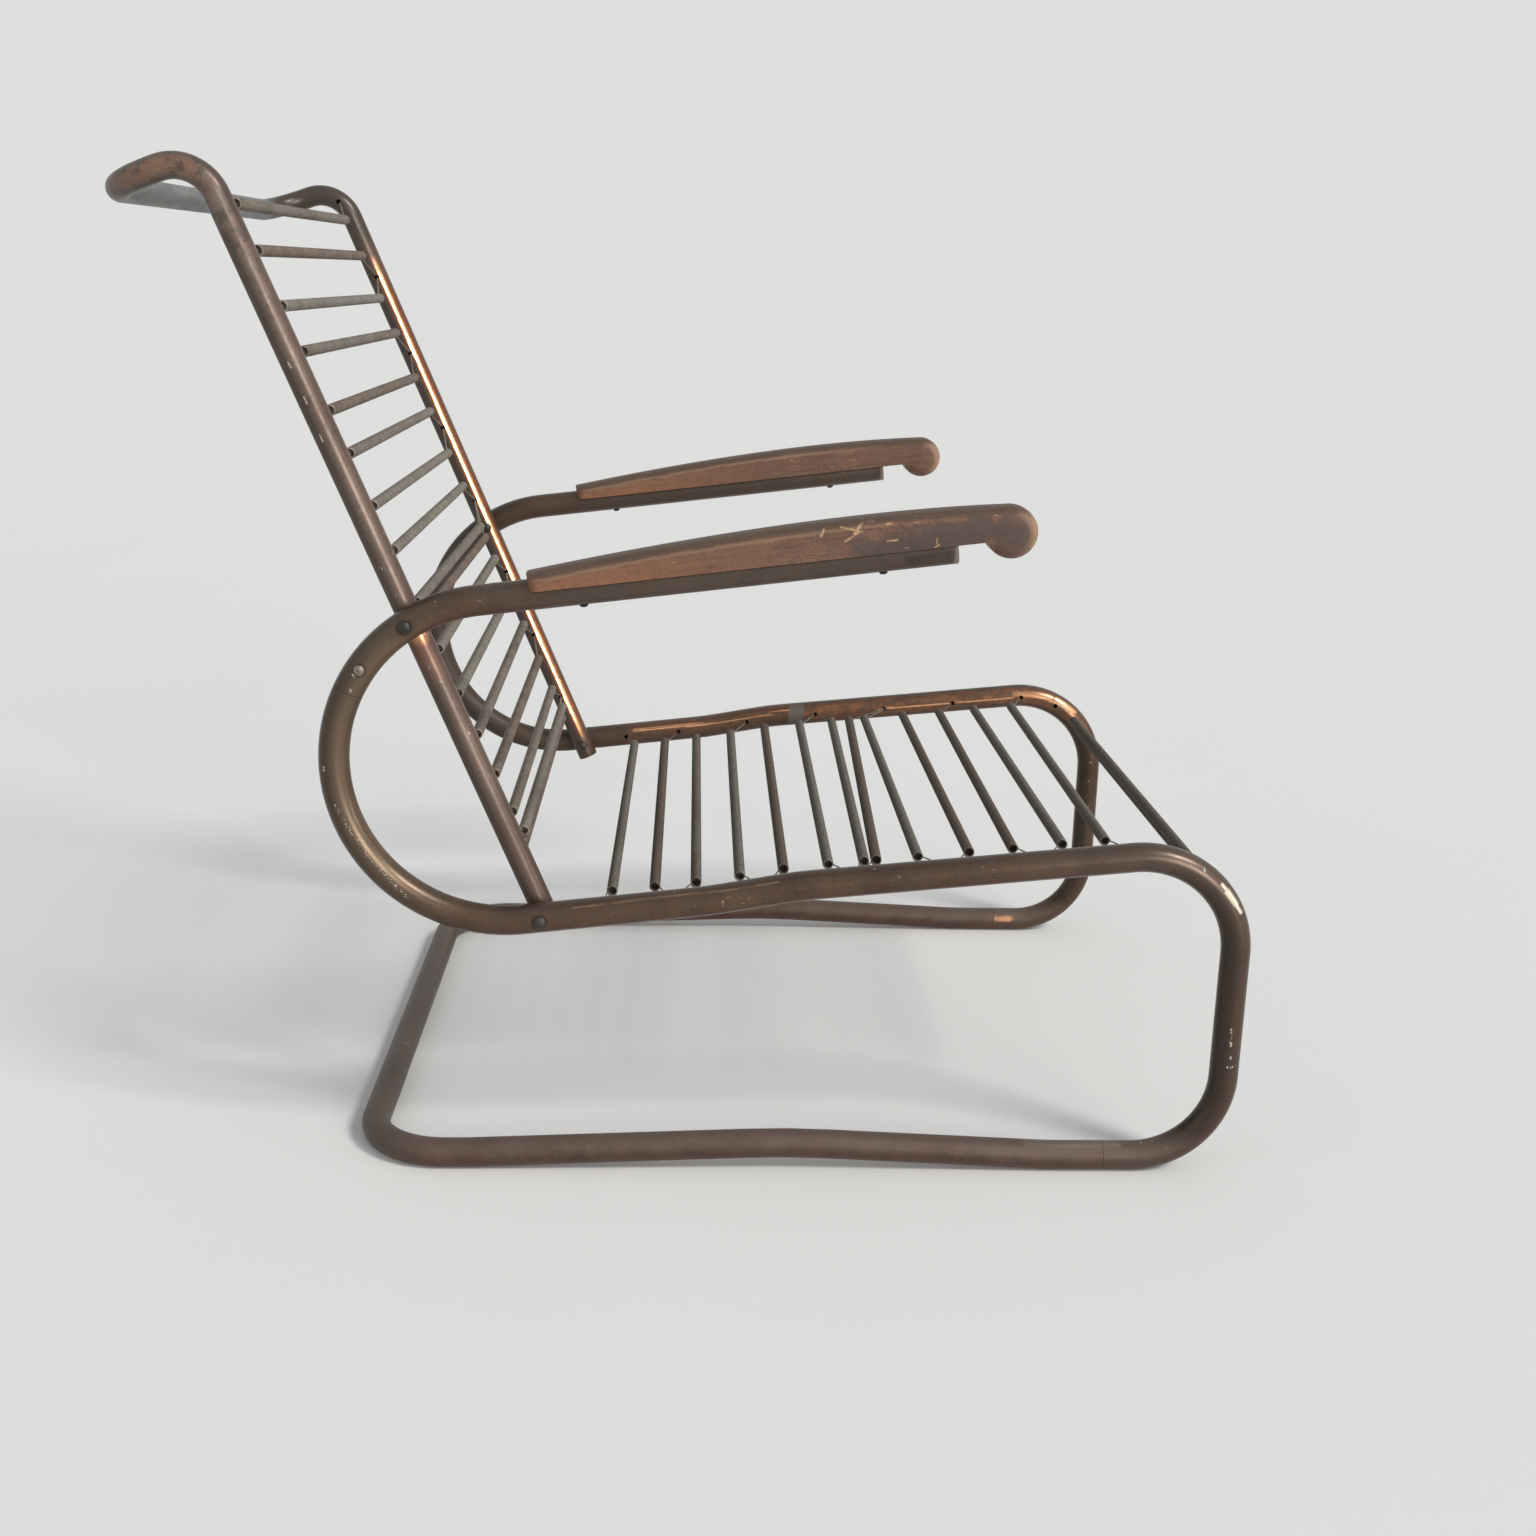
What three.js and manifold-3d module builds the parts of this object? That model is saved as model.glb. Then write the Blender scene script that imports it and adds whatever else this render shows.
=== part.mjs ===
// Cantilever lounge chair of bent steel tube, with extension springs across its back and seat.
// Millimetres. X points to the front of the chair, Y to the sitter's left and Z up.
// The origin lies on the floor, under the middle of the chair's outer box.

import * as THREE from 'three';
import { mergeVertices } from 'three/addons/utils/BufferGeometryUtils.js';
import Module from 'manifold-3d';

const wasm = await Module();
wasm.setup();

// Clearances that every seat, hole and face shares
const clearance = 0.3;
const cutOverrun = 1;
const mergeTolerance = 0.0005;

// Side frame: one bent line of tube on each side, from the arm's front end to the floor frame.
// Reaches are measured back from the front upright, heights up from the floor.
const sideSpacing = 600;
const frameTubeDiameter = 25;
const frameTubeWall = 2;
const armEndReach = 256.3;
const armEndHeight = 543.9;
const armSlopeAngle = 7.3;
const rearCurveReach = 754.7;
const kneeBendRadius = 300;
const frontBendRadius = 85;
const footBendRadius = 76;

// Seat rail: it climbs to the front in three runs, with a low and a high knee between them
const railRearHeight = 209;
const railRearRun = 304.7;
const railRearRise = 35.5;
const railKneeRun = 75;
const railKneeRise = 13.8;
const railFrontRise = 37.7;

// Floor frame: two arched runners and the tube across the back
const runnerArchReach = 378;
const runnerArchRise = 10.8;
const runnerRearRun = 20;
const runnerArchRadius = 800;
const runnerEndRadius = 300;
const floorTubeReach = 743;
const floorCornerRadius = 68;

// Joints in the frame tube, each with a sleeve inside. The arm's joint lies past the arm bolt,
// the runner's joint past the foot bend.
const armJointStep = 73;
const armSleeveLength = 60;
const runnerSleeveLength = 48;
const runnerSleeveSetback = 2;
const sleeveWall = 2;

// Back frame: one tube bent over the top of both uprights. It crosses the seat rail just
// ahead of the rear curve.
const backTubeDiameter = 21;
const backTubeWall = 1.8;
const backCrossStep = 14.8;
const backLeanAngle = 22.9;
const backUprightLength = 651;
const backFootOverhang = 15;
const headDroopAngle = 20;
const headReach = 75.8;
const headTopRadius = 34;
const headCornerRadius = 43;

// Springs: a close-wound coil whose end turn opens out into a long hook
const springDiameter = 9.6;
const springWireDiameter = 1.25;
const springHookReach = 38.5;
const springEndPitch = 3.5;
const springEndTurns = 0.75;
const springHookInside = 2.5;
const leastWireGap = 0.4;

// Holes for the spring hooks, along the rail and the upright from their crossing.
// The rail's even row ends just past the start of the front bend. The upright's holes are shares
// of its length from the seat bolt to the arm bolt, and from there to the head's corner.
const hooksInHole = 3;
const hookGap = 0.325;
const seatHoleFirst = 109.5;
const seatRowCount = 6;
const seatRowPastBend = 6.9;
const seatHoleRearStep = 60;
const seatHoleFrontStep = 42;
const backLowHoleShares = [ 0.232, 0.518, 0.804 ];
const backHighHoleShares = [ 0.084, 0.304, 0.524, 0.745, 0.965 ];

// Where each spring hangs: the number of its hole, and its left and right end as shares of the gap
// to the next hole on that side. Steps move an end on, and a lift moves a spring up, by that many
// diameters of a spring.
const seatSpringShares = [
	{ hole: 0, left: 0.17, right: 0.13 },
	{ hole: 1, left: - 0.25, right: - 0.25 },
	{ hole: 1, left: 0.26, right: 0.26 },
	{ hole: 2, left: - 0.25, right: - 0.26 },
	{ hole: 2, left: 0.24, right: 0.22 },
	{ hole: 3, left: - 0.26, right: - 0.29 },
	{ hole: 3, left: 0.2, right: 0.1 },
	{ hole: 4, left: - 0.55, rightHole: 3, right: 0.1, rightStep: 1.12 },
	{ hole: 4, left: - 0.33, right: - 0.31 },
	{ hole: 4, left: 0.22, right: 0.25 },
	{ hole: 5, left: - 0.26, right: - 0.27 },
	{ hole: 5, left: 0.24, right: 0.27 },
	{ hole: 6, left: - 0.23, right: - 0.26 },
	{ hole: 8, left: - 0.34, right: - 0.34, leftStep: - 1.24, rightStep: - 1.24, lift: 0.15 },
	{ hole: 8, left: - 0.34, right: - 0.34, lift: - 0.3 },
];
const backSpringShares = [
	{ hole: 0, left: - 0.07, right: - 0.07, leftStep: - 1.12, rightStep: - 1.12, lift: - 0.25 },
	{ hole: 0, left: - 0.07, right: - 0.07, lift: 0.25 },
	{ hole: 0, left: 0.24, right: 0.19 },
	{ hole: 1, left: - 0.28, right: - 0.33 },
	{ hole: 1, left: 0.26, right: 0.16 },
	{ hole: 2, left: - 0.25, right: - 0.33 },
	{ hole: 2, left: 0.25, right: 0.18 },
	{ hole: 3, left: - 0.3, right: - 0.3, leftStep: - 1.32, rightStep: - 1.32 },
	{ hole: 3, left: - 0.3, right: - 0.31 },
	{ hole: 3, left: 0.25, right: 0.24 },
	{ hole: 4, left: - 0.3, right: - 0.29 },
	{ hole: 4, left: 0.25, right: 0.25 },
	{ hole: 5, left: - 0.3, right: - 0.31 },
	{ hole: 5, left: 0.28, right: 0.28 },
	{ hole: 6, left: - 0.27, right: - 0.27 },
	{ hole: 6, left: 0.27, right: 0.27 },
	{ hole: 7, left: - 0.28, right: - 0.28 },
];

// Numbers of the springs that have gone brown
const rustySeatSprings = [ 2, 5, 8, 10, 11 ];
const rustyBackSprings = [ 1, 4, 5, 8, 16 ];

// Wooden arm pad. Its lengths run along the arm tube from the tube's front end, its heights
// stand square to the tube's centre line. Its rear end stops short of the rear curve.
// Its rounded edge is wider across the pad than it is deep, so that the top is crowned.
const padWidth = 38;
const padRearGap = 41.9;
const padRearHeight = 18.5;
const padCrownLength = 112.7;
const padCrownHeight = 41;
const padUnderHeight = 4.5;
const padEdgeWidth = 13;
const padEdgeDepth = 9;
const padKnobRadius = 21;
const padKnobLength = 43.4;
const padKnobHeight = 8.9;
const padGrooveEnd = 2;
const padScrewSetback = 41.5;
const padScrewFrontLength = 60;

// Fasteners
const boltShankDiameter = 6;
const boltHeadDiameter = 11;
const boltHeadHeight = 3.2;
const nutDiameter = 10;
const nutHeight = 5;
const boltEndGap = 1;
const screwShankDiameter = 5;
const screwHeadDiameter = 9;
const screwHeadHeight = 2.8;
const screwSlotWidth = 1.2;
const screwSlotDepth = 1.3;
const jointScrewLength = 12;
const jointScrewInset = 8;
const padScrewShankDiameter = 4;
const padScrewHeadDiameter = 7;
const padScrewHeadHeight = 2;
const padScrewCover = 1;

// How finely round shapes are faceted
const tubeSides = 12;
const boreSides = 8;
const springSides = 7;
const springBoreSides = 5;
const wireSides = 5;
const stepsPerTurn = 8;
const holeSides = 8;
const fastenerSides = 8;
const domeSteps = 2;
const bendStepAngle = 15;
const padCurveSteps = 10;
const padKnobSteps = 14;
const padEdgeSteps = 3;

// Values worked out from the sizes above
const frameRadius = frameTubeDiameter / 2;
const frameBoreRadius = frameRadius - frameTubeWall;
const backRadius = backTubeDiameter / 2;
const backBoreRadius = backRadius - backTubeWall;
const sideReach = sideSpacing / 2;
const backPlaneInset = frameRadius + clearance + backRadius;
const springRadius = springDiameter / 2;
const wireRadius = springWireDiameter / 2;
const coilRadius = springRadius - wireRadius;
const hookHoleRadius = ( hooksInHole * springWireDiameter + ( hooksInHole - 1 ) * hookGap ) / 2 + clearance;
const hookSeatReach = hookHoleRadius - clearance - wireRadius;
const seatFace = sideReach - frameRadius;
const backFace = sideReach - backPlaneInset - backRadius;
const armSlope = THREE.MathUtils.degToRad( armSlopeAngle );
const backLean = THREE.MathUtils.degToRad( backLeanAngle );
const headDroop = THREE.MathUtils.degToRad( headDroopAngle );

// Colours and finishes seen on the chair
const finishes = {
	lacquer: { color: 0x5d4436, roughness: 0.42, metalness: 0.55 },
	bareSteel: { color: 0x8b8d86, roughness: 0.5, metalness: 0.8 },
	spring: { color: 0x77746a, roughness: 0.5, metalness: 0.75 },
	rustySpring: { color: 0x6a564a, roughness: 0.6, metalness: 0.6 },
	wood: { color: 0x7a4c33, roughness: 0.5, metalness: 0 },
	bolt: { color: 0x4b4c4c, roughness: 0.45, metalness: 0.8 },
};

// Moves geometry to a solid that can be cut and joined, and back

function solidOf( geometry ) {

	const bare = geometry.clone();
	bare.deleteAttribute( 'normal' );
	bare.deleteAttribute( 'uv' );
	const merged = mergeVertices( bare, mergeTolerance );
	return new wasm.Manifold( new wasm.Mesh( {
		numProp: 3,
		vertProperties: Float32Array.from( merged.attributes.position.array ),
		triVerts: Uint32Array.from( merged.index.array ),
	} ) );

}

function geometryOf( solid ) {

	const mesh = solid.getMesh();
	const geometry = new THREE.BufferGeometry();
	geometry.setAttribute( 'position', new THREE.BufferAttribute( mesh.vertProperties, 3 ) );
	geometry.setIndex( new THREE.BufferAttribute( mesh.triVerts, 1 ) );
	geometry.computeVertexNormals();
	return geometry;

}

function cut( geometry, cutters ) {

	let solid = solidOf( geometry );
	for ( const cutter of cutters ) solid = solid.subtract( solidOf( cutter ) );
	return geometryOf( solid );

}

// A line of straight runs and round bends. Distances along it are exact.
class BentLine {

	constructor( corners ) {

		this.pieces = [];
		this.bends = {};
		this.length = 0;
		let from = corners[ 0 ].point;
		for ( let i = 1; i < corners.length - 1; i ++ ) {

			const { name, point, radius } = corners[ i ];
			const into = point.clone().sub( corners[ i - 1 ].point ).normalize();
			const out = corners[ i + 1 ].point.clone().sub( point ).normalize();
			const turn = into.angleTo( out );
			const setback = radius * Math.tan( turn / 2 );
			const start = point.clone().addScaledVector( into, - setback );
			this.addRun( from, start );
			this.addBend( start, into, out, radius, turn );
			if ( name ) this.bends[ name ] = { start: this.length - radius * turn, end: this.length };
			from = point.clone().addScaledVector( out, setback );

		}

		this.addRun( from, corners[ corners.length - 1 ].point );

	}

	addRun( from, to ) {

		const direction = to.clone().sub( from );
		const length = direction.length();
		direction.normalize();
		this.pieces.push( {
			begin: this.length,
			length,
			steps: 1,
			pointAt: ( d ) => from.clone().addScaledVector( direction, d ),
			tangentAt: () => direction.clone(),
		} );
		this.length += length;

	}

	addBend( start, into, out, radius, turn ) {

		const inward = out.clone().addScaledVector( into, - out.dot( into ) ).normalize();
		const centre = start.clone().addScaledVector( inward, radius );
		const steps = Math.max( 1, Math.round( THREE.MathUtils.radToDeg( turn ) / bendStepAngle ) );
		this.pieces.push( {
			begin: this.length,
			length: radius * turn,
			steps,
			pointAt: ( d ) => centre.clone()
				.addScaledVector( inward, - radius * Math.cos( d / radius ) )
				.addScaledVector( into, radius * Math.sin( d / radius ) ),
			tangentAt: ( d ) => into.clone().multiplyScalar( Math.cos( d / radius ) )
				.addScaledVector( inward, Math.sin( d / radius ) ),
		} );
		this.length += radius * turn;

	}

	pieceAt( distance ) {

		return this.pieces.findLast( ( piece ) => piece.begin <= distance ) ?? this.pieces[ 0 ];

	}

	pointAt( distance ) {

		const piece = this.pieceAt( distance );
		return piece.pointAt( distance - piece.begin );

	}

	tangentAt( distance ) {

		const piece = this.pieceAt( distance );
		return piece.tangentAt( distance - piece.begin );

	}

	// The distances at which a tube along this line has a ring of corners
	ringPlaces( marks ) {

		const places = [ ...marks, this.length ];
		for ( const { begin, length, steps } of this.pieces )
			for ( let i = 0; i < steps; i ++ ) places.push( begin + length * i / steps );
		return places.sort( ( a, b ) => a - b );

	}

}

// The stretch of a bent line between two distances, with its own rings
class Stretch extends THREE.Curve {

	constructor( line, from, to, marks = [] ) {

		super();
		this.line = line;
		const inside = line.ringPlaces( marks ).filter( ( d ) => d > from && d < to );
		const places = [ from, ...inside, to ];
		this.places = places.filter( ( d, i ) => i === 0 || d - places[ i - 1 ] > cutOverrun / 2 );
		this.places[ this.places.length - 1 ] = to;
		this.steps = this.places.length - 1;

	}

	placeAt( share ) {

		return this.places[ Math.round( share * this.steps ) ];

	}

	getPoint( share, target = new THREE.Vector3() ) {

		return target.copy( this.line.pointAt( this.placeAt( share ) ) );

	}

	getPointAt( share, target ) {

		return this.getPoint( share, target );

	}

	getTangent( share, target = new THREE.Vector3() ) {

		return target.copy( this.line.tangentAt( this.placeAt( share ) ) );

	}

	getTangentAt( share, target ) {

		return this.getTangent( share, target );

	}

}

// Regular outline whose flats lie at the given radius
function roundOutline( Path, radius, sides ) {

	const outline = new Path();
	for ( let i = 0; i < sides; i ++ ) {

		const angle = Math.PI * ( 2 * i + 1 ) / sides;
		const corner = radius / Math.cos( Math.PI / sides );
		const place = [ corner * Math.cos( angle ), corner * Math.sin( angle ) ];
		if ( i === 0 ) outline.moveTo( ...place );
		else outline.lineTo( ...place );

	}

	outline.closePath();
	return outline;

}

function ringShape( radius, boreRadius, sides, boreSides = sides ) {

	const shape = roundOutline( THREE.Shape, radius, sides );
	shape.holes.push( roundOutline( THREE.Path, boreRadius, boreSides ) );
	return shape;

}

function tubeGeometry( stretch, radius, boreRadius, sides = tubeSides ) {

	const shape = ringShape( radius, boreRadius, sides, boreSides );
	return new THREE.ExtrudeGeometry( shape, { steps: stretch.steps, extrudePath: stretch } );

}

// A round bar across the chair, used to cut holes
function crossBar( radius, fromY, toY, x, z ) {

	const length = Math.abs( toY - fromY );
	const corner = radius / Math.cos( Math.PI / holeSides );
	const bar = new THREE.CylinderGeometry( corner, corner, length, holeSides );
	bar.rotateY( Math.PI / holeSides );
	return bar.translate( x, ( fromY + toY ) / 2, z );

}

// Centre lines. Each is drawn in the plane y = 0 of its own side, and the floor frame and
// the back frame run from side to side.

function spot( reach, height, y = 0 ) {

	return new THREE.Vector3( - reach, y, height );

}

const lowKneeReach = rearCurveReach - railRearRun;
const lowKneeHeight = railRearHeight + railRearRise;
const highKneeReach = lowKneeReach - railKneeRun;
const highKneeHeight = lowKneeHeight + railKneeRise;
const railFrontHeight = highKneeHeight + railFrontRise;
const rearTopHeight = armEndHeight - ( rearCurveReach - armEndReach ) * Math.tan( armSlope );
const railSlope = Math.atan2( railRearRise, railRearRun );
const rearTopTurn = Math.PI / 2 - armSlope;
const rearBottomTurn = Math.PI / 2 + railSlope;
const rearCurveRadius = ( rearTopHeight - railRearHeight )
	/ ( Math.tan( rearTopTurn / 2 ) + Math.tan( rearBottomTurn / 2 ) );

const runnerJointReach = footBendRadius + runnerSleeveSetback + runnerSleeveLength / 2;

const sideLine = new BentLine( [
	{ point: spot( armEndReach, armEndHeight ) },
	{ name: 'rearTop', point: spot( rearCurveReach, rearTopHeight ), radius: rearCurveRadius },
	{ name: 'rearBottom', point: spot( rearCurveReach, railRearHeight ), radius: rearCurveRadius },
	{ name: 'lowKnee', point: spot( lowKneeReach, lowKneeHeight ), radius: kneeBendRadius },
	{ name: 'highKnee', point: spot( highKneeReach, highKneeHeight ), radius: kneeBendRadius },
	{ name: 'front', point: spot( 0, railFrontHeight ), radius: frontBendRadius },
	{ name: 'foot', point: spot( 0, frameRadius ), radius: footBendRadius },
	{ point: spot( runnerJointReach, frameRadius ) },
] );

const runnerCorners = [
	{ reach: runnerJointReach, rise: 0, radius: 0 },
	{ reach: runnerJointReach + runnerSleeveLength, rise: 0, radius: runnerEndRadius },
	{ reach: runnerArchReach, rise: runnerArchRise, radius: runnerArchRadius },
	{ reach: floorTubeReach - floorCornerRadius - runnerRearRun, rise: 0, radius: runnerEndRadius },
	{ reach: floorTubeReach, rise: 0, radius: floorCornerRadius },
];

function runnerSide( y ) {

	return runnerCorners.map( ( { reach, rise, radius } ) => (
		{ point: spot( reach, frameRadius + rise, y ), radius } ) );

}

const floorLine = new BentLine( [ ...runnerSide( - sideReach ), ...runnerSide( sideReach ).reverse() ] );

const railCrossPlace = sideLine.bends.rearBottom.end + backCrossStep;
const backCross = sideLine.pointAt( railCrossPlace );
const backUp = new THREE.Vector3( - Math.sin( backLean ), 0, Math.cos( backLean ) );
const headBack = new THREE.Vector3( - Math.cos( headDroop ), 0, - Math.sin( headDroop ) );
const backFoot = backCross.clone().addScaledVector( backUp, - backFootOverhang );
const backTop = backCross.clone().addScaledVector( backUp, backUprightLength );
const headCorner = backTop.clone().addScaledVector( headBack, headReach );
const backPlane = sideReach - backPlaneInset;

function backSide( side ) {

	const shift = new THREE.Vector3( 0, side * backPlane, 0 );
	return [
		{ point: backFoot.clone().add( shift ) },
		{ point: backTop.clone().add( shift ), radius: headTopRadius },
		{ point: headCorner.clone().add( shift ), radius: headCornerRadius },
	];

}

const backLine = new BentLine( [ ...backSide( - 1 ), ...backSide( 1 ).reverse() ] );

// Distance along the side line at which the back upright crosses its rear curve
function armCrossing() {

	const offset = ( d ) => {

		const away = sideLine.pointAt( d ).sub( backCross );
		return away.x * backUp.z - away.z * backUp.x;

	};

	let low = 0;
	let high = sideLine.bends.rearTop.end;
	while ( high - low > mergeTolerance ) {

		const middle = ( low + high ) / 2;
		if ( offset( middle ) > 0 ) low = middle;
		else high = middle;

	}

	return low;

}

const armCrossPlace = armCrossing();
const armCross = sideLine.pointAt( armCrossPlace );

// Holes along the rail and the upright
const seatRowEnd = sideLine.bends.front.start + seatRowPastBend - railCrossPlace;
const seatHolePitch = ( seatRowEnd - seatHoleFirst ) / ( seatRowCount - 1 );
const seatHolePlaces = [
	seatHoleFirst - seatHoleRearStep,
	...Array.from( { length: seatRowCount }, ( _, i ) => seatHoleFirst + seatHolePitch * i ),
	seatRowEnd + seatHoleFrontStep,
	seatRowEnd + 2 * seatHoleFrontStep,
];

const boltRise = armCross.distanceTo( backCross );
const backHolePlaces = [
	...backLowHoleShares.map( ( share ) => boltRise * share ),
	...backHighHoleShares.map( ( share ) => boltRise + ( backUprightLength - boltRise ) * share ),
];

// A place on the rail or the upright: its point, its direction and the square to it
function railPlace( distance ) {

	const along = railCrossPlace + distance;
	const forward = sideLine.tangentAt( along );
	const square = new THREE.Vector3( - forward.z, 0, forward.x );
	return { point: sideLine.pointAt( along ), along: forward, square };

}

function uprightPlace( distance ) {

	const along = backFootOverhang + distance;
	const up = backLine.tangentAt( along );
	const square = new THREE.Vector3( up.z, 0, - up.x );
	return { point: backLine.pointAt( along ).setY( 0 ), along: up, square };

}

// Springs

// One unbroken wire through the given points, closed at both ends
function wireGeometry( points, radius ) {

	const count = points.length;
	const positions = [];
	const index = [];
	let normal = new THREE.Vector3();
	points.forEach( ( point, i ) => {

		const before = point.clone().sub( points[ Math.max( i - 1, 0 ) ] ).normalize();
		const after = points[ Math.min( i + 1, count - 1 ) ].clone().sub( point ).normalize();
		const tangent = before.clone().add( after ).normalize();
		if ( i === 0 ) normal.crossVectors( tangent, new THREE.Vector3( 0, 0, 1 ) );
		normal.addScaledVector( tangent, - normal.dot( tangent ) ).normalize();
		const square = new THREE.Vector3().crossVectors( tangent, normal );
		for ( let k = 0; k < wireSides; k ++ ) {

			const angle = 2 * Math.PI * k / wireSides;
			const corner = point.clone().addScaledVector( normal, radius * Math.cos( angle ) )
				.addScaledVector( square, radius * Math.sin( angle ) );
			positions.push( corner.x, corner.y, corner.z );

		}

	} );
	for ( let i = 0; i < count - 1; i ++ ) {

		for ( let k = 0; k < wireSides; k ++ ) {

			const next = ( k + 1 ) % wireSides;
			const a = i * wireSides + k;
			const b = i * wireSides + next;
			index.push( a, b, b + wireSides, a, b + wireSides, a + wireSides );

		}

	}

	const last = ( count - 1 ) * wireSides;
	for ( let k = 1; k < wireSides - 1; k ++ ) {

		index.push( 0, k + 1, k );
		index.push( last, last + k, last + k + 1 );

	}

	const geometry = new THREE.BufferGeometry();
	geometry.setAttribute( 'position', new THREE.Float32BufferAttribute( positions, 3 ) );
	geometry.setIndex( index );
	return geometry;

}

// Least open space between stretches of a wire that are over half a turn apart
function gapToItself( points, radius ) {

	const samples = [];
	let place = 0;
	for ( let i = 0; i < points.length - 1; i ++ ) {

		const length = points[ i ].distanceTo( points[ i + 1 ] );
		for ( let k = 0; k < stepsPerTurn; k ++ ) {

			const share = k / stepsPerTurn;
			const point = points[ i ].clone().lerp( points[ i + 1 ], share );
			samples.push( { point, place: place + length * share } );

		}

		place += length;

	}

	let least = Infinity;
	for ( const one of samples ) {

		for ( const other of samples ) {

			const apart = other.place - one.place > Math.PI * coilRadius;
			if ( apart ) least = Math.min( least, one.point.distanceTo( other.point ) );

		}

	}

	return least - 2 * radius;

}

let smallestGap = Infinity;

// Points of the hook at one end: the opened end turn, then straight to the hole and through it
function hookPoints( end, side, face ) {

	const bodyEnd = face - springHookReach;
	const turn = 2 * Math.PI * springEndTurns;
	const toHole = end.holePlace - end.place;
	const finish = toHole > 0 ? 0 : Math.PI;
	const steps = Math.round( stepsPerTurn * springEndTurns );
	const onCoil = ( angle, rise ) => end.point.clone()
		.addScaledVector( end.along, coilRadius * Math.cos( angle ) )
		.addScaledVector( end.square, coilRadius * Math.sin( angle ) )
		.setY( side * ( bodyEnd + rise ) );
	const points = [ onCoil( finish - side * turn, - springWireDiameter ) ];
	for ( let i = 0; i <= steps; i ++ ) {

		const rise = springWireDiameter + springEndPitch * springEndTurns * i / steps;
		points.push( onCoil( finish - side * turn * ( 1 - i / steps ), rise ) );

	}

	const target = end.hole.point.clone().addScaledVector( end.hole.along, end.seat );
	points.push( target.clone().setY( side * ( face - springWireDiameter ) ) );
	points.push( target.clone().setY( side * ( face + frameTubeWall + springHookInside ) ) );
	smallestGap = Math.min( smallestGap, gapToItself( points, wireRadius ) );
	return points;

}

// Close-wound body between the two end places
function springBody( leftEnd, rightEnd, bodyEnd ) {

	const shape = ringShape( springRadius, springRadius - springWireDiameter, springSides, springBoreSides );
	const body = new THREE.ExtrudeGeometry( shape, { depth: 1, bevelEnabled: false } );
	const from = rightEnd.point.clone().setY( - bodyEnd );
	const reach = leftEnd.point.clone().setY( bodyEnd ).sub( from );
	const basis = new THREE.Matrix4().makeBasis( rightEnd.square, rightEnd.along, reach );
	const turned = basis.determinant() < 0;
	if ( turned ) basis.makeBasis( rightEnd.along, rightEnd.square, reach );
	return body.applyMatrix4( basis.setPosition( from ) );

}

function springGeometry( spring, face ) {

	const bodyEnd = face - springHookReach;
	let solid = solidOf( springBody( spring.left, spring.right, bodyEnd ) );
	const hooks = [ hookPoints( spring.left, 1, face ), hookPoints( spring.right, - 1, face ) ];
	for ( const points of hooks ) solid = solid.add( solidOf( wireGeometry( points, wireRadius ) ) );
	return geometryOf( solid );

}

// Works out each spring's two ends, their holes and their seats among the hooks in each hole
function layOutSprings( shares, holePlaces, placeOn ) {

	const endAt = ( hole, share, step = 0, lift = 0 ) => {

		const holePlace = holePlaces[ hole ];
		const nextPlace = holePlaces[ hole + Math.sign( share ) ] ?? 0;
		const place = holePlace + Math.abs( share ) * ( nextPlace - holePlace ) + step * springDiameter;
		const end = placeOn( place );
		end.point.addScaledVector( end.square, lift * springDiameter );
		return { ...end, place, holePlace, hole: placeOn( holePlace ) };

	};

	const springs = shares.map( ( spring ) => {

		const rightHole = spring.rightHole ?? spring.hole;
		return {
			left: endAt( spring.hole, spring.left, spring.leftStep, spring.lift ),
			right: endAt( rightHole, spring.right, spring.rightStep, spring.lift ),
		};

	} );

	for ( const side of [ 'left', 'right' ] ) {

		const ends = springs.map( ( spring ) => spring[ side ] );
		for ( const end of ends ) {

			const together = ends.filter( ( other ) => other.holePlace === end.holePlace );
			const before = together.filter( ( other ) => other.place < end.place ).length;
			const others = together.length - 1;
			const towardSpring = Math.sign( end.place - end.holePlace );
			end.seat = hookSeatReach * ( others ? 2 * before / others - 1 : towardSpring );

		}

	}

	return springs;

}

const seatSprings = layOutSprings( seatSpringShares, seatHolePlaces, railPlace );
const backSprings = layOutSprings( backSpringShares, backHolePlaces, uprightPlace );

// Fasteners. Each is turned about the Y axis with its head's seat at y = 0 and its shank below.

function domedFastener( shankRadius, headRadius, headHeight, length ) {

	const profile = [
		new THREE.Vector2( 0, - length ),
		new THREE.Vector2( shankRadius, - length ),
		new THREE.Vector2( shankRadius, 0 ),
	];
	for ( let i = 0; i < domeSteps; i ++ ) {

		const angle = Math.PI / 2 * i / domeSteps;
		profile.push( new THREE.Vector2( headRadius * Math.cos( angle ), headHeight * Math.sin( angle ) ) );

	}

	profile.push( new THREE.Vector2( 0, headHeight ) );
	return new THREE.LatheGeometry( profile, fastenerSides );

}

function slotted( geometry, headRadius, headHeight ) {

	const slotHeight = screwSlotDepth + cutOverrun;
	const slot = new THREE.BoxGeometry( screwSlotWidth, slotHeight, 2 * ( headRadius + cutOverrun ) );
	slot.translate( 0, headHeight - screwSlotDepth + slotHeight / 2, 0 );
	return cut( geometry, [ slot ] );

}

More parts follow.
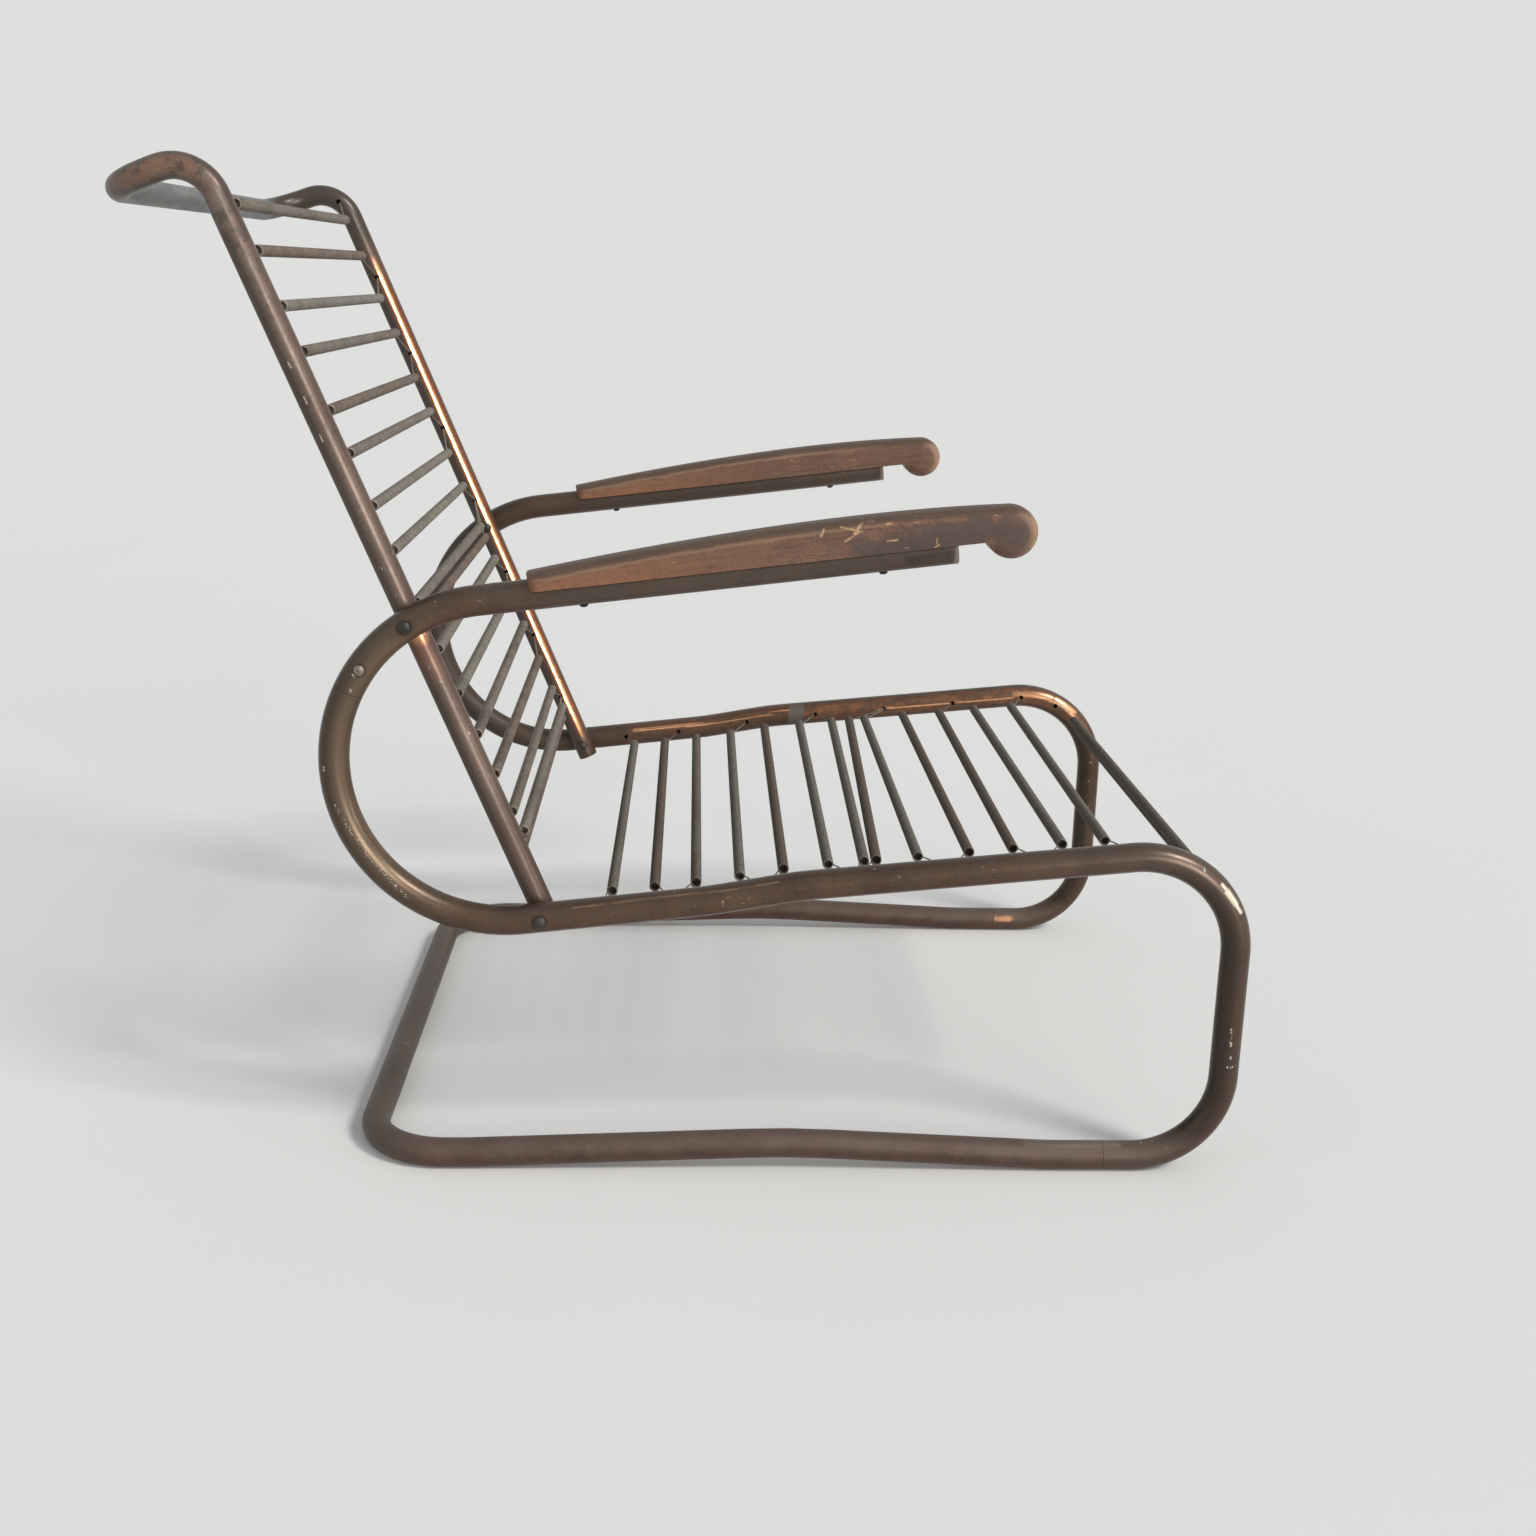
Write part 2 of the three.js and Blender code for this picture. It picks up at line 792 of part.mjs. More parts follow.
function roundNut() {

	const radius = nutDiameter / 2;
	const bore = boltShankDiameter / 2 + clearance;
	const depth = nutHeight - 2 * screwSlotDepth;
	const nut = new THREE.LatheGeometry( [
		new THREE.Vector2( 0, depth ),
		new THREE.Vector2( bore, depth ),
		new THREE.Vector2( bore, 0 ),
		new THREE.Vector2( radius, 0 ),
		new THREE.Vector2( radius, depth ),
		new THREE.Vector2( radius - screwSlotDepth, nutHeight ),
		new THREE.Vector2( 0, nutHeight ),
	], fastenerSides );
	return slotted( nut, radius, nutHeight );

}

// Arm frame: x runs forward along the arm tube from its front end, y square to it and upwards

const armForward = new THREE.Vector3( Math.cos( armSlope ), 0, Math.sin( armSlope ) );
const armSquare = new THREE.Vector3( - Math.sin( armSlope ), 0, Math.cos( armSlope ) );
const armOut = new THREE.Vector3().crossVectors( armForward, armSquare );
const armFrame = new THREE.Matrix4().makeBasis( armForward, armSquare, armOut )
	.setPosition( spot( armEndReach, armEndHeight ) );

// A round bar square to the arm tube, used to cut the screw holes
function armBar( radius, from, to, length ) {

	const bar = new THREE.CylinderGeometry( radius, radius, to - from, holeSides );
	bar.translate( - length, ( from + to ) / 2, 0 );
	return bar.applyMatrix4( armFrame );

}

const armJoint = armCrossPlace + armJointStep;
const padRearLength = sideLine.bends.rearTop.start - padRearGap;
const padScrewTip = padRearHeight - padScrewCover;
const padScrewLengths = { rear: padRearLength - padScrewSetback, front: padScrewFrontLength };

// The pad from the side, before its underside and its groove are cut. Its crown runs into the scroll.
function padOutline() {

	const lowEdge = padUnderHeight - padEdgeDepth;
	const kneeAngle = Math.asin( ( lowEdge - padKnobHeight ) / padKnobRadius );
	const kneeLength = padKnobLength - padKnobRadius * Math.cos( kneeAngle );
	const scroll = new THREE.EllipseCurve(
		padKnobLength, padKnobHeight, padKnobRadius, padKnobRadius, Math.PI - kneeAngle, 2.5 * Math.PI );
	const rearTop = new THREE.Vector2( - padRearLength, padRearHeight );
	const crownPeak = new THREE.Vector2( - padCrownLength, padCrownHeight );
	const crown = new THREE.QuadraticBezierCurve( scroll.getPoint( 1 ), crownPeak, rearTop );
	return new THREE.Shape( [
		new THREE.Vector2( - padRearLength, lowEdge ),
		new THREE.Vector2( kneeLength - cutOverrun, lowEdge ),
		...scroll.getPoints( padKnobSteps ),
		...crown.getPoints( padCurveSteps ).filter( ( point, i ) => i > 0 ),
	] );

}

function padGeometry() {

	const depth = padWidth - 2 * padEdgeWidth;
	const pad = new THREE.ExtrudeGeometry( padOutline(), {
		depth,
		bevelThickness: padEdgeWidth,
		bevelSize: padEdgeDepth,
		bevelOffset: - padEdgeDepth,
		bevelSegments: padEdgeSteps,
	} );
	pad.translate( 0, 0, - depth / 2 );

	const notch = padKnobLength - Math.sqrt( padKnobRadius ** 2 - ( padUnderHeight - padKnobHeight ) ** 2 );
	const slabLength = padRearLength + notch + cutOverrun;
	const slabHeight = padEdgeDepth + cutOverrun;
	const slab = new THREE.BoxGeometry( slabLength, slabHeight, padWidth + 2 * cutOverrun );
	slab.translate( notch - slabLength / 2, padUnderHeight - slabHeight / 2, 0 );

	const grooveSection = roundOutline( THREE.Shape, frameRadius + clearance, tubeSides );
	const grooveLength = padRearLength + padGrooveEnd + cutOverrun;
	const groove = new THREE.ExtrudeGeometry( grooveSection, { depth: grooveLength, bevelEnabled: false } );
	groove.rotateY( - Math.PI / 2 ).translate( padGrooveEnd, 0, 0 );

	const pilots = Object.values( padScrewLengths ).map( ( length ) => {

		const top = padScrewTip + clearance;
		const radius = ( padScrewShankDiameter / 2 + clearance ) / Math.cos( Math.PI / holeSides );
		const pilot = new THREE.CylinderGeometry( radius, radius, top, holeSides );
		return pilot.translate( - length, top / 2, 0 );

	} );
	return cut( pad, [ slab, groove, ...pilots ] ).applyMatrix4( armFrame );

}

// Side pieces. They are made in the side's own plane, where inward is towards the chair's middle.

const sleeveMarks = [ armJoint - armSleeveLength / 2, armJoint, armJoint + armSleeveLength / 2 ];
const jointScrewPlace = sideLine.pointAt( armJoint - armSleeveLength / 2 + jointScrewInset );
const throughHole = boltShankDiameter / 2 + clearance;

function throughFrameTube( point ) {

	const reach = frameRadius + cutOverrun;
	return crossBar( throughHole, - reach, reach, point.x, point.z );

}

function jointScrewHole( side ) {

	const outer = side * ( frameRadius + cutOverrun );
	return crossBar( screwShankDiameter / 2 + clearance, 0, outer, jointScrewPlace.x, jointScrewPlace.z );

}

function armTubeGeometry( side ) {

	const stretch = new Stretch( sideLine, 0, armJoint - clearance / 2, sleeveMarks );
	const tube = tubeGeometry( stretch, frameRadius, frameBoreRadius );
	const padHoles = Object.values( padScrewLengths ).map( ( length ) => {

		const reach = frameRadius + cutOverrun;
		return armBar( padScrewShankDiameter / 2 + clearance, - reach, reach, length );

	} );
	return cut( tube, [ throughFrameTube( armCross ), jointScrewHole( side ), ...padHoles ] );

}

function seatTubeGeometry( side ) {

	const end = sideLine.length - clearance / 2;
	const stretch = new Stretch( sideLine, armJoint + clearance / 2, end, sleeveMarks );
	const tube = tubeGeometry( stretch, frameRadius, frameBoreRadius );
	const inner = - side * ( frameRadius + cutOverrun );
	const bore = - side * ( frameBoreRadius - cutOverrun );
	const holes = seatHolePlaces.map( ( place ) => {

		const { point } = railPlace( place );
		return crossBar( hookHoleRadius, bore, inner, point.x, point.z );

	} );
	return cut( tube, [ throughFrameTube( backCross ), ...holes ] );

}

function sleeveGeometry( line, from, to, marks ) {

	const stretch = new Stretch( line, from, to, marks );
	const outerRadius = frameBoreRadius - clearance;
	return tubeGeometry( stretch, outerRadius, outerRadius - sleeveWall, boreSides );

}

function armSleeveGeometry( side ) {

	const sleeve = sleeveGeometry( sideLine, sleeveMarks.at( 0 ), sleeveMarks.at( - 1 ), sleeveMarks );
	return cut( sleeve, [ jointScrewHole( side ) ] );

}

function runnerSleeveGeometry() {

	const line = new BentLine( [
		{ point: spot( runnerJointReach - runnerSleeveLength / 2, frameRadius ) },
		{ point: spot( runnerJointReach + runnerSleeveLength / 2, frameRadius ) },
	] );
	return sleeveGeometry( line, 0, line.length, [] );

}

// The scene graph

const chair = new THREE.Group();

function addPiece( parent, name, geometry, finish ) {

	const piece = new THREE.Mesh( geometry, new THREE.MeshStandardMaterial( finishes[ finish ] ) );
	piece.name = name;
	parent.add( piece );
	return piece;

}

// Sets a fastener's head against a face that looks along y, on the given side of the chair
function addFastener( parent, name, geometry, point, y, side, finish ) {

	const piece = addPiece( parent, name, geometry, finish );
	piece.position.set( point.x, y, point.z );
	piece.rotation.x = side > 0 ? 0 : Math.PI;
	return piece;

}

function addSide( name, side ) {

	const group = new THREE.Group();
	group.position.y = side * sideReach;
	chair.add( group );
	addPiece( group, `arm_tube_${ name }`, armTubeGeometry( side ), 'lacquer' );
	addPiece( group, `seat_tube_${ name }`, seatTubeGeometry( side ), 'lacquer' );
	addPiece( group, `arm_joint_sleeve_${ name }`, armSleeveGeometry( side ), 'bareSteel' );
	addPiece( group, `runner_joint_sleeve_${ name }`, runnerSleeveGeometry(), 'bareSteel' );
	addPiece( group, `arm_pad_${ name }`, padGeometry(), 'wood' );

	const nutBoreDepth = nutHeight - 2 * screwSlotDepth;
	const boltLength = 2 * frameRadius + 2 * backRadius + 3 * clearance + nutBoreDepth - boltEndGap;
	const bolt = domedFastener( boltShankDiameter / 2, boltHeadDiameter / 2, boltHeadHeight, boltLength );
	const headSeat = side * ( frameRadius + clearance );
	const nutSeat = - side * ( frameRadius + 2 * backRadius + 2 * clearance );
	for ( const [ place, point ] of [ [ 'arm', armCross ], [ 'seat', backCross ] ] ) {

		addFastener( group, `${ place }_bolt_${ name }`, bolt, point, headSeat, side, 'bolt' );
		addFastener( group, `${ place }_bolt_nut_${ name }`, roundNut(), point, nutSeat, - side, 'bolt' );

	}

	const headRadius = screwHeadDiameter / 2;
	const plainScrew = domedFastener( screwShankDiameter / 2, headRadius, screwHeadHeight, jointScrewLength );
	const jointScrew = slotted( plainScrew, headRadius, screwHeadHeight );
	addFastener( group, `joint_screw_${ name }`, jointScrew, jointScrewPlace, headSeat, side, 'bareSteel' );

	const padScrewLength = frameRadius + clearance + padScrewTip;
	const padScrew = domedFastener(
		padScrewShankDiameter / 2, padScrewHeadDiameter / 2, padScrewHeadHeight, padScrewLength );
	for ( const [ place, length ] of Object.entries( padScrewLengths ) ) {

		const piece = addPiece( group, `pad_screw_${ place }_${ name }`, padScrew, 'bolt' );
		piece.position.set( - length, - frameRadius - clearance, 0 ).applyMatrix4( armFrame );
		piece.quaternion.setFromUnitVectors( new THREE.Vector3( 0, - 1, 0 ), armSquare );

	}

}

function floorTubeGeometry() {

	const stretch = new Stretch( floorLine, clearance / 2, floorLine.length - clearance / 2 );
	return tubeGeometry( stretch, frameRadius, frameBoreRadius );

}

function backTubeGeometry() {

	const tube = tubeGeometry( new Stretch( backLine, 0, backLine.length ), backRadius, backBoreRadius );
	const cutters = [];
	for ( const side of [ - 1, 1 ] ) {

		const inner = side * ( backPlane - backRadius - cutOverrun );
		const bore = side * ( backPlane - backBoreRadius + cutOverrun );
		for ( const place of backHolePlaces ) {

			const { point } = uprightPlace( place );
			cutters.push( crossBar( hookHoleRadius, bore, inner, point.x, point.z ) );

		}

		const outer = side * ( backPlane + backRadius + cutOverrun );
		for ( const point of [ backCross, armCross ] ) {

			cutters.push( crossBar( throughHole, inner, outer, point.x, point.z ) );

		}

	}

	return cut( tube, cutters );

}

addSide( 'right', - 1 );
addSide( 'left', 1 );
addPiece( chair, 'floor_tube', floorTubeGeometry(), 'lacquer' );
addPiece( chair, 'back_tube', backTubeGeometry(), 'lacquer' );

function addSprings( name, springs, face, rusty ) {

	springs.forEach( ( spring, i ) => {

		const number = String( i + 1 ).padStart( 2, '0' );
		const finish = rusty.includes( i + 1 ) ? 'rustySpring' : 'spring';
		addPiece( chair, `${ name }_spring_${ number }`, springGeometry( spring, face ), finish );

	} );

}

addSprings( 'seat', seatSprings, seatFace, rustySeatSprings );
addSprings( 'back', backSprings, backFace, rustyBackSprings );

const gapText = smallestGap.toFixed( 2 );
console.log( `least gap of a spring's wire to itself: ${ gapText } mm, wanted over ${ leastWireGap } mm` );

// The origin under the middle of the outer box
const rearReach = - headCorner.x + backRadius;
chair.position.x = ( rearReach - frameRadius ) / 2;

export default chair;
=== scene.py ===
import math
from collections import namedtuple

import bmesh
import bpy
from mathutils import Matrix, Vector


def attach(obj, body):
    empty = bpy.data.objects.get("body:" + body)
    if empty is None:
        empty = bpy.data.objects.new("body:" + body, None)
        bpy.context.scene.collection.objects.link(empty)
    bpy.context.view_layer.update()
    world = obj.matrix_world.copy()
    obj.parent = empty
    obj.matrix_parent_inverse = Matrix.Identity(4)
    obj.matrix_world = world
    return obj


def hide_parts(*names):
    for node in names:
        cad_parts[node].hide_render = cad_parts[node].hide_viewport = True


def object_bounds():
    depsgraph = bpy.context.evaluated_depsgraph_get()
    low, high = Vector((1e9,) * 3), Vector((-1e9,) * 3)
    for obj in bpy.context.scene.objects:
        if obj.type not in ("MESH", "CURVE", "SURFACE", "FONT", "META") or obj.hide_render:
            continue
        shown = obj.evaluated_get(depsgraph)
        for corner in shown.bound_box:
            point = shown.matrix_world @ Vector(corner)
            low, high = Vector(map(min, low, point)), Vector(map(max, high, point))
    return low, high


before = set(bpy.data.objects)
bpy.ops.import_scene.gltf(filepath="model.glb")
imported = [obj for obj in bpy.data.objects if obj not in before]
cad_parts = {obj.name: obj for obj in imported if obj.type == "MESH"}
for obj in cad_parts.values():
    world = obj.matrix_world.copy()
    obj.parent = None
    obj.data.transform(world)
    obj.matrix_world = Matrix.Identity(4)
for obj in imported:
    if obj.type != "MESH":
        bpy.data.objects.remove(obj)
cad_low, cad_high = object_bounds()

# Sizes of the chair in millimetres, as in the CAD. X runs to the front from the front upright.
MM = 0.001
SIDE_REACH = 300
FRAME_RADIUS = 12.5
FRAME_WALL = 2
BACK_RADIUS = 10.5
BACK_WALL = 1.8
BACK_SKIN_INSET = 0.2
CLEARANCE = 0.3
ARM_END = (-256.3, 543.9)
ARM_SLOPE = math.radians(7.3)
REAR_REACH = 754.7
RAIL_REAR = (-754.7, 209)
RAIL_LOW_KNEE = (-450, 244.5)
RAIL_HIGH_KNEE = (-375, 258.3)
RAIL_FRONT = (0, 296)
KNEE_RADIUS = 300
FRONT_RADIUS = 85
FOOT_RADIUS = 76
RUNNER_JOINT = -102
RUNNER_ARCH = ((-150, 12.5, 300), (-378, 23.3, 800), (-655, 12.5, 300))
FLOOR_CORNER = (-743, 12.5, 68)
ARM_TUBE_LENGTH = 517
JOINT_SCREW_INSET = 22
BACK_CROSS_X = -589.04
BACK_LEAN = math.radians(22.9)
BACK_LENGTH = 651
BACK_OVERHANG = 15
HEAD_DROOP = math.radians(20)
HEAD_REACH = 75.8
HEAD_TOP_RADIUS = 34
HEAD_CORNER_RADIUS = 43
BACK_PLANE = SIDE_REACH - FRAME_RADIUS - CLEARANCE - BACK_RADIUS
SEAT_FACE = SIDE_REACH - FRAME_RADIUS
BACK_FACE = BACK_PLANE - BACK_RADIUS
HOOK_HOLE_RADIUS = 2.5
BOLT_HOLE_RADIUS = 3.3
SCREW_HOLE_RADIUS = 2.8
SEAT_HOLES = (49.5, 109.5, 188.8, 268.1, 347.4, 426.7, 506, 548, 590)
SEAT_PITCH = 79.3
BACK_HOLES = (62, 138.5, 215, 299.5, 384, 468.5, 553, 637.5)
BACK_LOW_PITCH = 76.5
BACK_HIGH_PITCH = 84.5
BACK_LOW_COUNT = 3
SPRING_RADIUS = 4.8
WIRE_RADIUS = 0.625
HOOK_REACH = 38.5
HOOK_SEAT = HOOK_HOLE_RADIUS - WIRE_RADIUS - CLEARANCE

# The group's X shift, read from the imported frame: its front face is one tube radius past X = 0
SHIFT = cad_high.x / MM - FRAME_RADIUS

# Springs as in the CAD: hole number, then the left and the right end as shares of the hole pitch.
# The tone is how far the spring has gone from grey-green to rust brown, the lift how many spring widths it
# lies off the row.
Spring = namedtuple("Spring", "hole left right tone lift right_hole", defaults=(0, None))
SEAT_SPRINGS = (
    Spring(0, 0.13, 0.1, 0.3), Spring(1, -0.19, -0.19, 0.85), Spring(1, 0.26, 0.26, 0.45),
    Spring(2, -0.25, -0.26, 0.1), Spring(2, 0.24, 0.22, 0.75), Spring(3, -0.26, -0.29, 0.25),
    Spring(3, 0.2, 0.1, 0.3), Spring(4, -0.55, 0.235, 0.7, right_hole=3), Spring(4, -0.33, -0.31, 0.2),
    Spring(4, 0.22, 0.25, 0.65), Spring(5, -0.26, -0.27, 0.8), Spring(5, 0.24, 0.27, 0.1),
    Spring(6, -0.23, -0.26, 0.3), Spring(8, -0.33, -0.33, 0.4, lift=0.15),
    Spring(8, -0.18, -0.18, 0.15, lift=-0.3),
)
BACK_SPRINGS = (
    Spring(0, -0.2, -0.2, 0.9, lift=-0.25), Spring(0, -0.06, -0.06, 0.15, lift=0.25),
    Spring(0, 0.24, 0.19, 0.4), Spring(1, -0.28, -0.33, 0.75), Spring(1, 0.26, 0.16, 0.6),
    Spring(2, -0.25, -0.33, 0.1), Spring(2, 0.28, 0.2, 0.35), Spring(3, -0.45, -0.45, 0.85),
    Spring(3, -0.3, -0.31, 0.2), Spring(3, 0.25, 0.24, 0.3), Spring(4, -0.3, -0.29, 0.2),
    Spring(4, 0.25, 0.25, 0.6), Spring(5, -0.3, -0.31, 0.7), Spring(5, 0.28, 0.28, 0.6),
    Spring(6, -0.27, -0.27, 0.1), Spring(6, 0.27, 0.27, 0.8), Spring(7, -0.28, -0.28, 0.4),
)

# How finely round shapes are drawn
TUBE_SIDES = 32
BEND_STEP = math.radians(3)
RUN_STEP = 40
CUTTER_SIDES = 20
GROOVE_SIDES = 48
WIRE_SIDES = 8
WIRE_STEPS = 16
COIL_SIDES = 10
COIL_RINGS = 2
FASTENER_SIDES = 28
DOME_STEPS = 8
NECK_STEPS = 14
CROWN_STEPS = 26
EDGE_STEPS = 6

# Edges sharper than this, in degrees, stay sharp
TUBE_EDGE, COIL_EDGE, WOOD_EDGE, FASTENER_EDGE = 40, 75, 35, 50


def place(x, y, z):
    """A point given in the chair's millimetres, in the frame's metres."""
    return Vector(((x + SHIFT) * MM, y * MM, z * MM))


def at_side(point, y):
    return Vector((point.x, y, point.z))


# Camera, at the photograph's place and angle
IMAGE_SIZE = 1536
FOCAL_PIXELS = 1800
CAMERA_PLACE = (-465.4, -1721.2, 750.1)
CAMERA_YAW, CAMERA_PITCH, CAMERA_ROLL = 0.0443, 0.2675, 0.0248


def make_camera():
    data = bpy.data.cameras.new("camera")
    data.sensor_width = 36
    data.lens = data.sensor_width * FOCAL_PIXELS / IMAGE_SIZE
    data.clip_start = 0.05
    data.clip_end = 50
    camera = bpy.data.objects.new("camera", data)
    bpy.context.scene.collection.objects.link(camera)
    matrix = Matrix.Translation(place(*CAMERA_PLACE))
    for angle, axis in ((-CAMERA_YAW, "Z"), (math.pi / 2 - CAMERA_PITCH, "X"), (CAMERA_ROLL, "Z")):
        matrix @= Matrix.Rotation(angle, 4, axis)
    camera.matrix_world = matrix
    bpy.context.scene.camera = camera


# Centre lines of straight runs and round bends, the same as the CAD's
Piece = namedtuple("Piece", "start length steps point tangent")


class BentLine:
    """Straight runs and round bends past corners, each given as a point and the radius of its bend."""

    def __init__(self, corners):
        self.pieces = []
        self.length = 0.0
        start = corners[0][0]
        for before, (point, radius), after in zip(corners, corners[1:], corners[2:]):
            into = (point - before[0]).normalized()
            out = (after[0] - point).normalized()
            turn = into.angle(out)
            setback = radius * math.tan(turn / 2)
            self.add_run(start, point - into * setback)
            self.add_bend(point - into * setback, into, out, radius, turn)
            start = point + out * setback
        self.add_run(start, corners[-1][0])

    def add(self, length, steps, point, tangent):
        self.pieces.append(Piece(self.length, length, steps, point, tangent))
        self.length += length

    def add_run(self, start, end):
        direction = (end - start).normalized()
        length = (end - start).length
        self.add(length, max(1, round(length / RUN_STEP)), lambda d: start + direction * d,
                 lambda d: direction.copy())

    def add_bend(self, start, into, out, radius, turn):
        inward = (out - into * out.dot(into)).normalized()
        centre = start + inward * radius

        def point(d):
            return centre - inward * radius * math.cos(d / radius) + into * radius * math.sin(d / radius)

        self.add(radius * turn, max(2, round(turn / BEND_STEP)), point,
                 lambda d: into * math.cos(d / radius) + inward * math.sin(d / radius))

    def piece_at(self, distance):
        return [piece for piece in self.pieces if piece.start <= distance][-1]

    def point(self, distance):
        piece = self.piece_at(distance)
        return piece.point(distance - piece.start)

    def tangent(self, distance):
        piece = self.piece_at(distance)
        return piece.tangent(distance - piece.start)

    def stations(self, start, end):
        places = [piece.start + piece.length * i / piece.steps for piece in self.pieces
                  for i in range(piece.steps)]
        return [start] + [d for d in places if start + 0.5 < d < end - 0.5] + [end]


def corners(rows, y=0.0):
    """Corners of a bent line from rows of X, Z and radius."""
    return [(Vector((x, y, z)), radius) for x, z, radius in rows]


def there_and_back(rows, y):
    """A line that goes along the right side and comes back along the left."""
    return BentLine(corners(rows, -y) + corners(rows, y)[::-1])


REAR_TOP_Z = ARM_END[1] - (REAR_REACH + ARM_END[0]) * math.tan(ARM_SLOPE)
RAIL_SLOPE = math.atan2(RAIL_LOW_KNEE[1] - RAIL_REAR[1], RAIL_LOW_KNEE[0] - RAIL_REAR[0])
REAR_RADIUS = (REAR_TOP_Z - RAIL_REAR[1]) / (
    math.tan((math.pi / 2 - ARM_SLOPE) / 2) + math.tan((math.pi / 2 + RAIL_SLOPE) / 2))

RUNNER_END = (RUNNER_JOINT, FRAME_RADIUS, 0)
SIDE_LINE = BentLine(corners((
    (*ARM_END, 0), (-REAR_REACH, REAR_TOP_Z, REAR_RADIUS), (*RAIL_REAR, REAR_RADIUS),
    (*RAIL_LOW_KNEE, KNEE_RADIUS), (*RAIL_HIGH_KNEE, KNEE_RADIUS), (*RAIL_FRONT, FRONT_RADIUS),
    (0, FRAME_RADIUS, FOOT_RADIUS), RUNNER_END)))

# Where three pieces of the side's line start: the lower rear curve, the seat rail and the front bend
LOWER_CURVE, RAIL_START, FRONT_BEND = (SIDE_LINE.pieces[i].start for i in (3, 4, 9))

FLOOR_LINE = there_and_back((RUNNER_END, *RUNNER_ARCH, FLOOR_CORNER), SIDE_REACH)

BACK_CROSS = Vector((BACK_CROSS_X, 0, RAIL_REAR[1] + (BACK_CROSS_X - RAIL_REAR[0]) * math.tan(RAIL_SLOPE)))
BACK_UP = Vector((-math.sin(BACK_LEAN), 0, math.cos(BACK_LEAN)))
HEAD_BACK = Vector((-math.cos(HEAD_DROOP), 0, -math.sin(HEAD_DROOP)))
BACK_TOP = BACK_CROSS + BACK_UP * BACK_LENGTH
BACK_LINE = there_and_back((
    (*(BACK_CROSS - BACK_UP * BACK_OVERHANG).xz, 0), (*BACK_TOP.xz, HEAD_TOP_RADIUS),
    (*(BACK_TOP + HEAD_BACK * HEAD_REACH).xz, HEAD_CORNER_RADIUS)), BACK_PLANE)


def nearest_place(line, target, start, end):
    """How far along the line it comes nearest to the target, between two distances."""
    while end - start > 1e-4:
        third = (end - start) / 3
        if (line.point(start + third) - target).length < (line.point(end - third) - target).length:
            end -= third
        else:
            start += third
    return start


def arm_crossing():
    """Where the back upright crosses the line of the rear curve."""
    low, high = 0.0, LOWER_CURVE
    while high - low > 1e-4:
        middle = (low + high) / 2
        away = SIDE_LINE.point(middle) - BACK_CROSS
        if away.x * BACK_UP.z - away.z * BACK_UP.x > 0:
            low = middle
        else:
            high = middle
    return SIDE_LINE.point(low)


RAIL_CROSS = nearest_place(SIDE_LINE, BACK_CROSS, RAIL_START, FRONT_BEND)
ARM_CROSS = arm_crossing()
JOINT_SCREW = SIDE_LINE.point(ARM_TUBE_LENGTH - JOINT_SCREW_INSET)


# Materials. Each is built from noise at the scale of the real finish, in object coordinates in metres.
def chair_x(value):
    return (value + SHIFT) * MM


class Tree:
    """Short calls for building a node tree."""

    def __init__(self, owner):
        owner.use_nodes = True
        self.tree = owner.node_tree

    def fill(self, node, values):
        """Gives sockets a number, a vector, a colour of three shares, or a link."""
        for key, value in values.items():
            socket = node.inputs[key]
            if not isinstance(value, (int, float, tuple)):
                self.tree.links.new(value, socket)
            else:
                socket.default_value = (*value, 1.0) if socket.type == "RGBA" else value
        return node.outputs

    def add(self, kind, values=None, **settings):
        node = self.tree.nodes.new("ShaderNode" + kind)
        for key, value in settings.items():
            setattr(node, key, value)
        return self.fill(node, values or {})

    def math(self, operation, a, b=0.0):
        return self.add("Math", {0: a, 1: b}, operation=operation)[0]


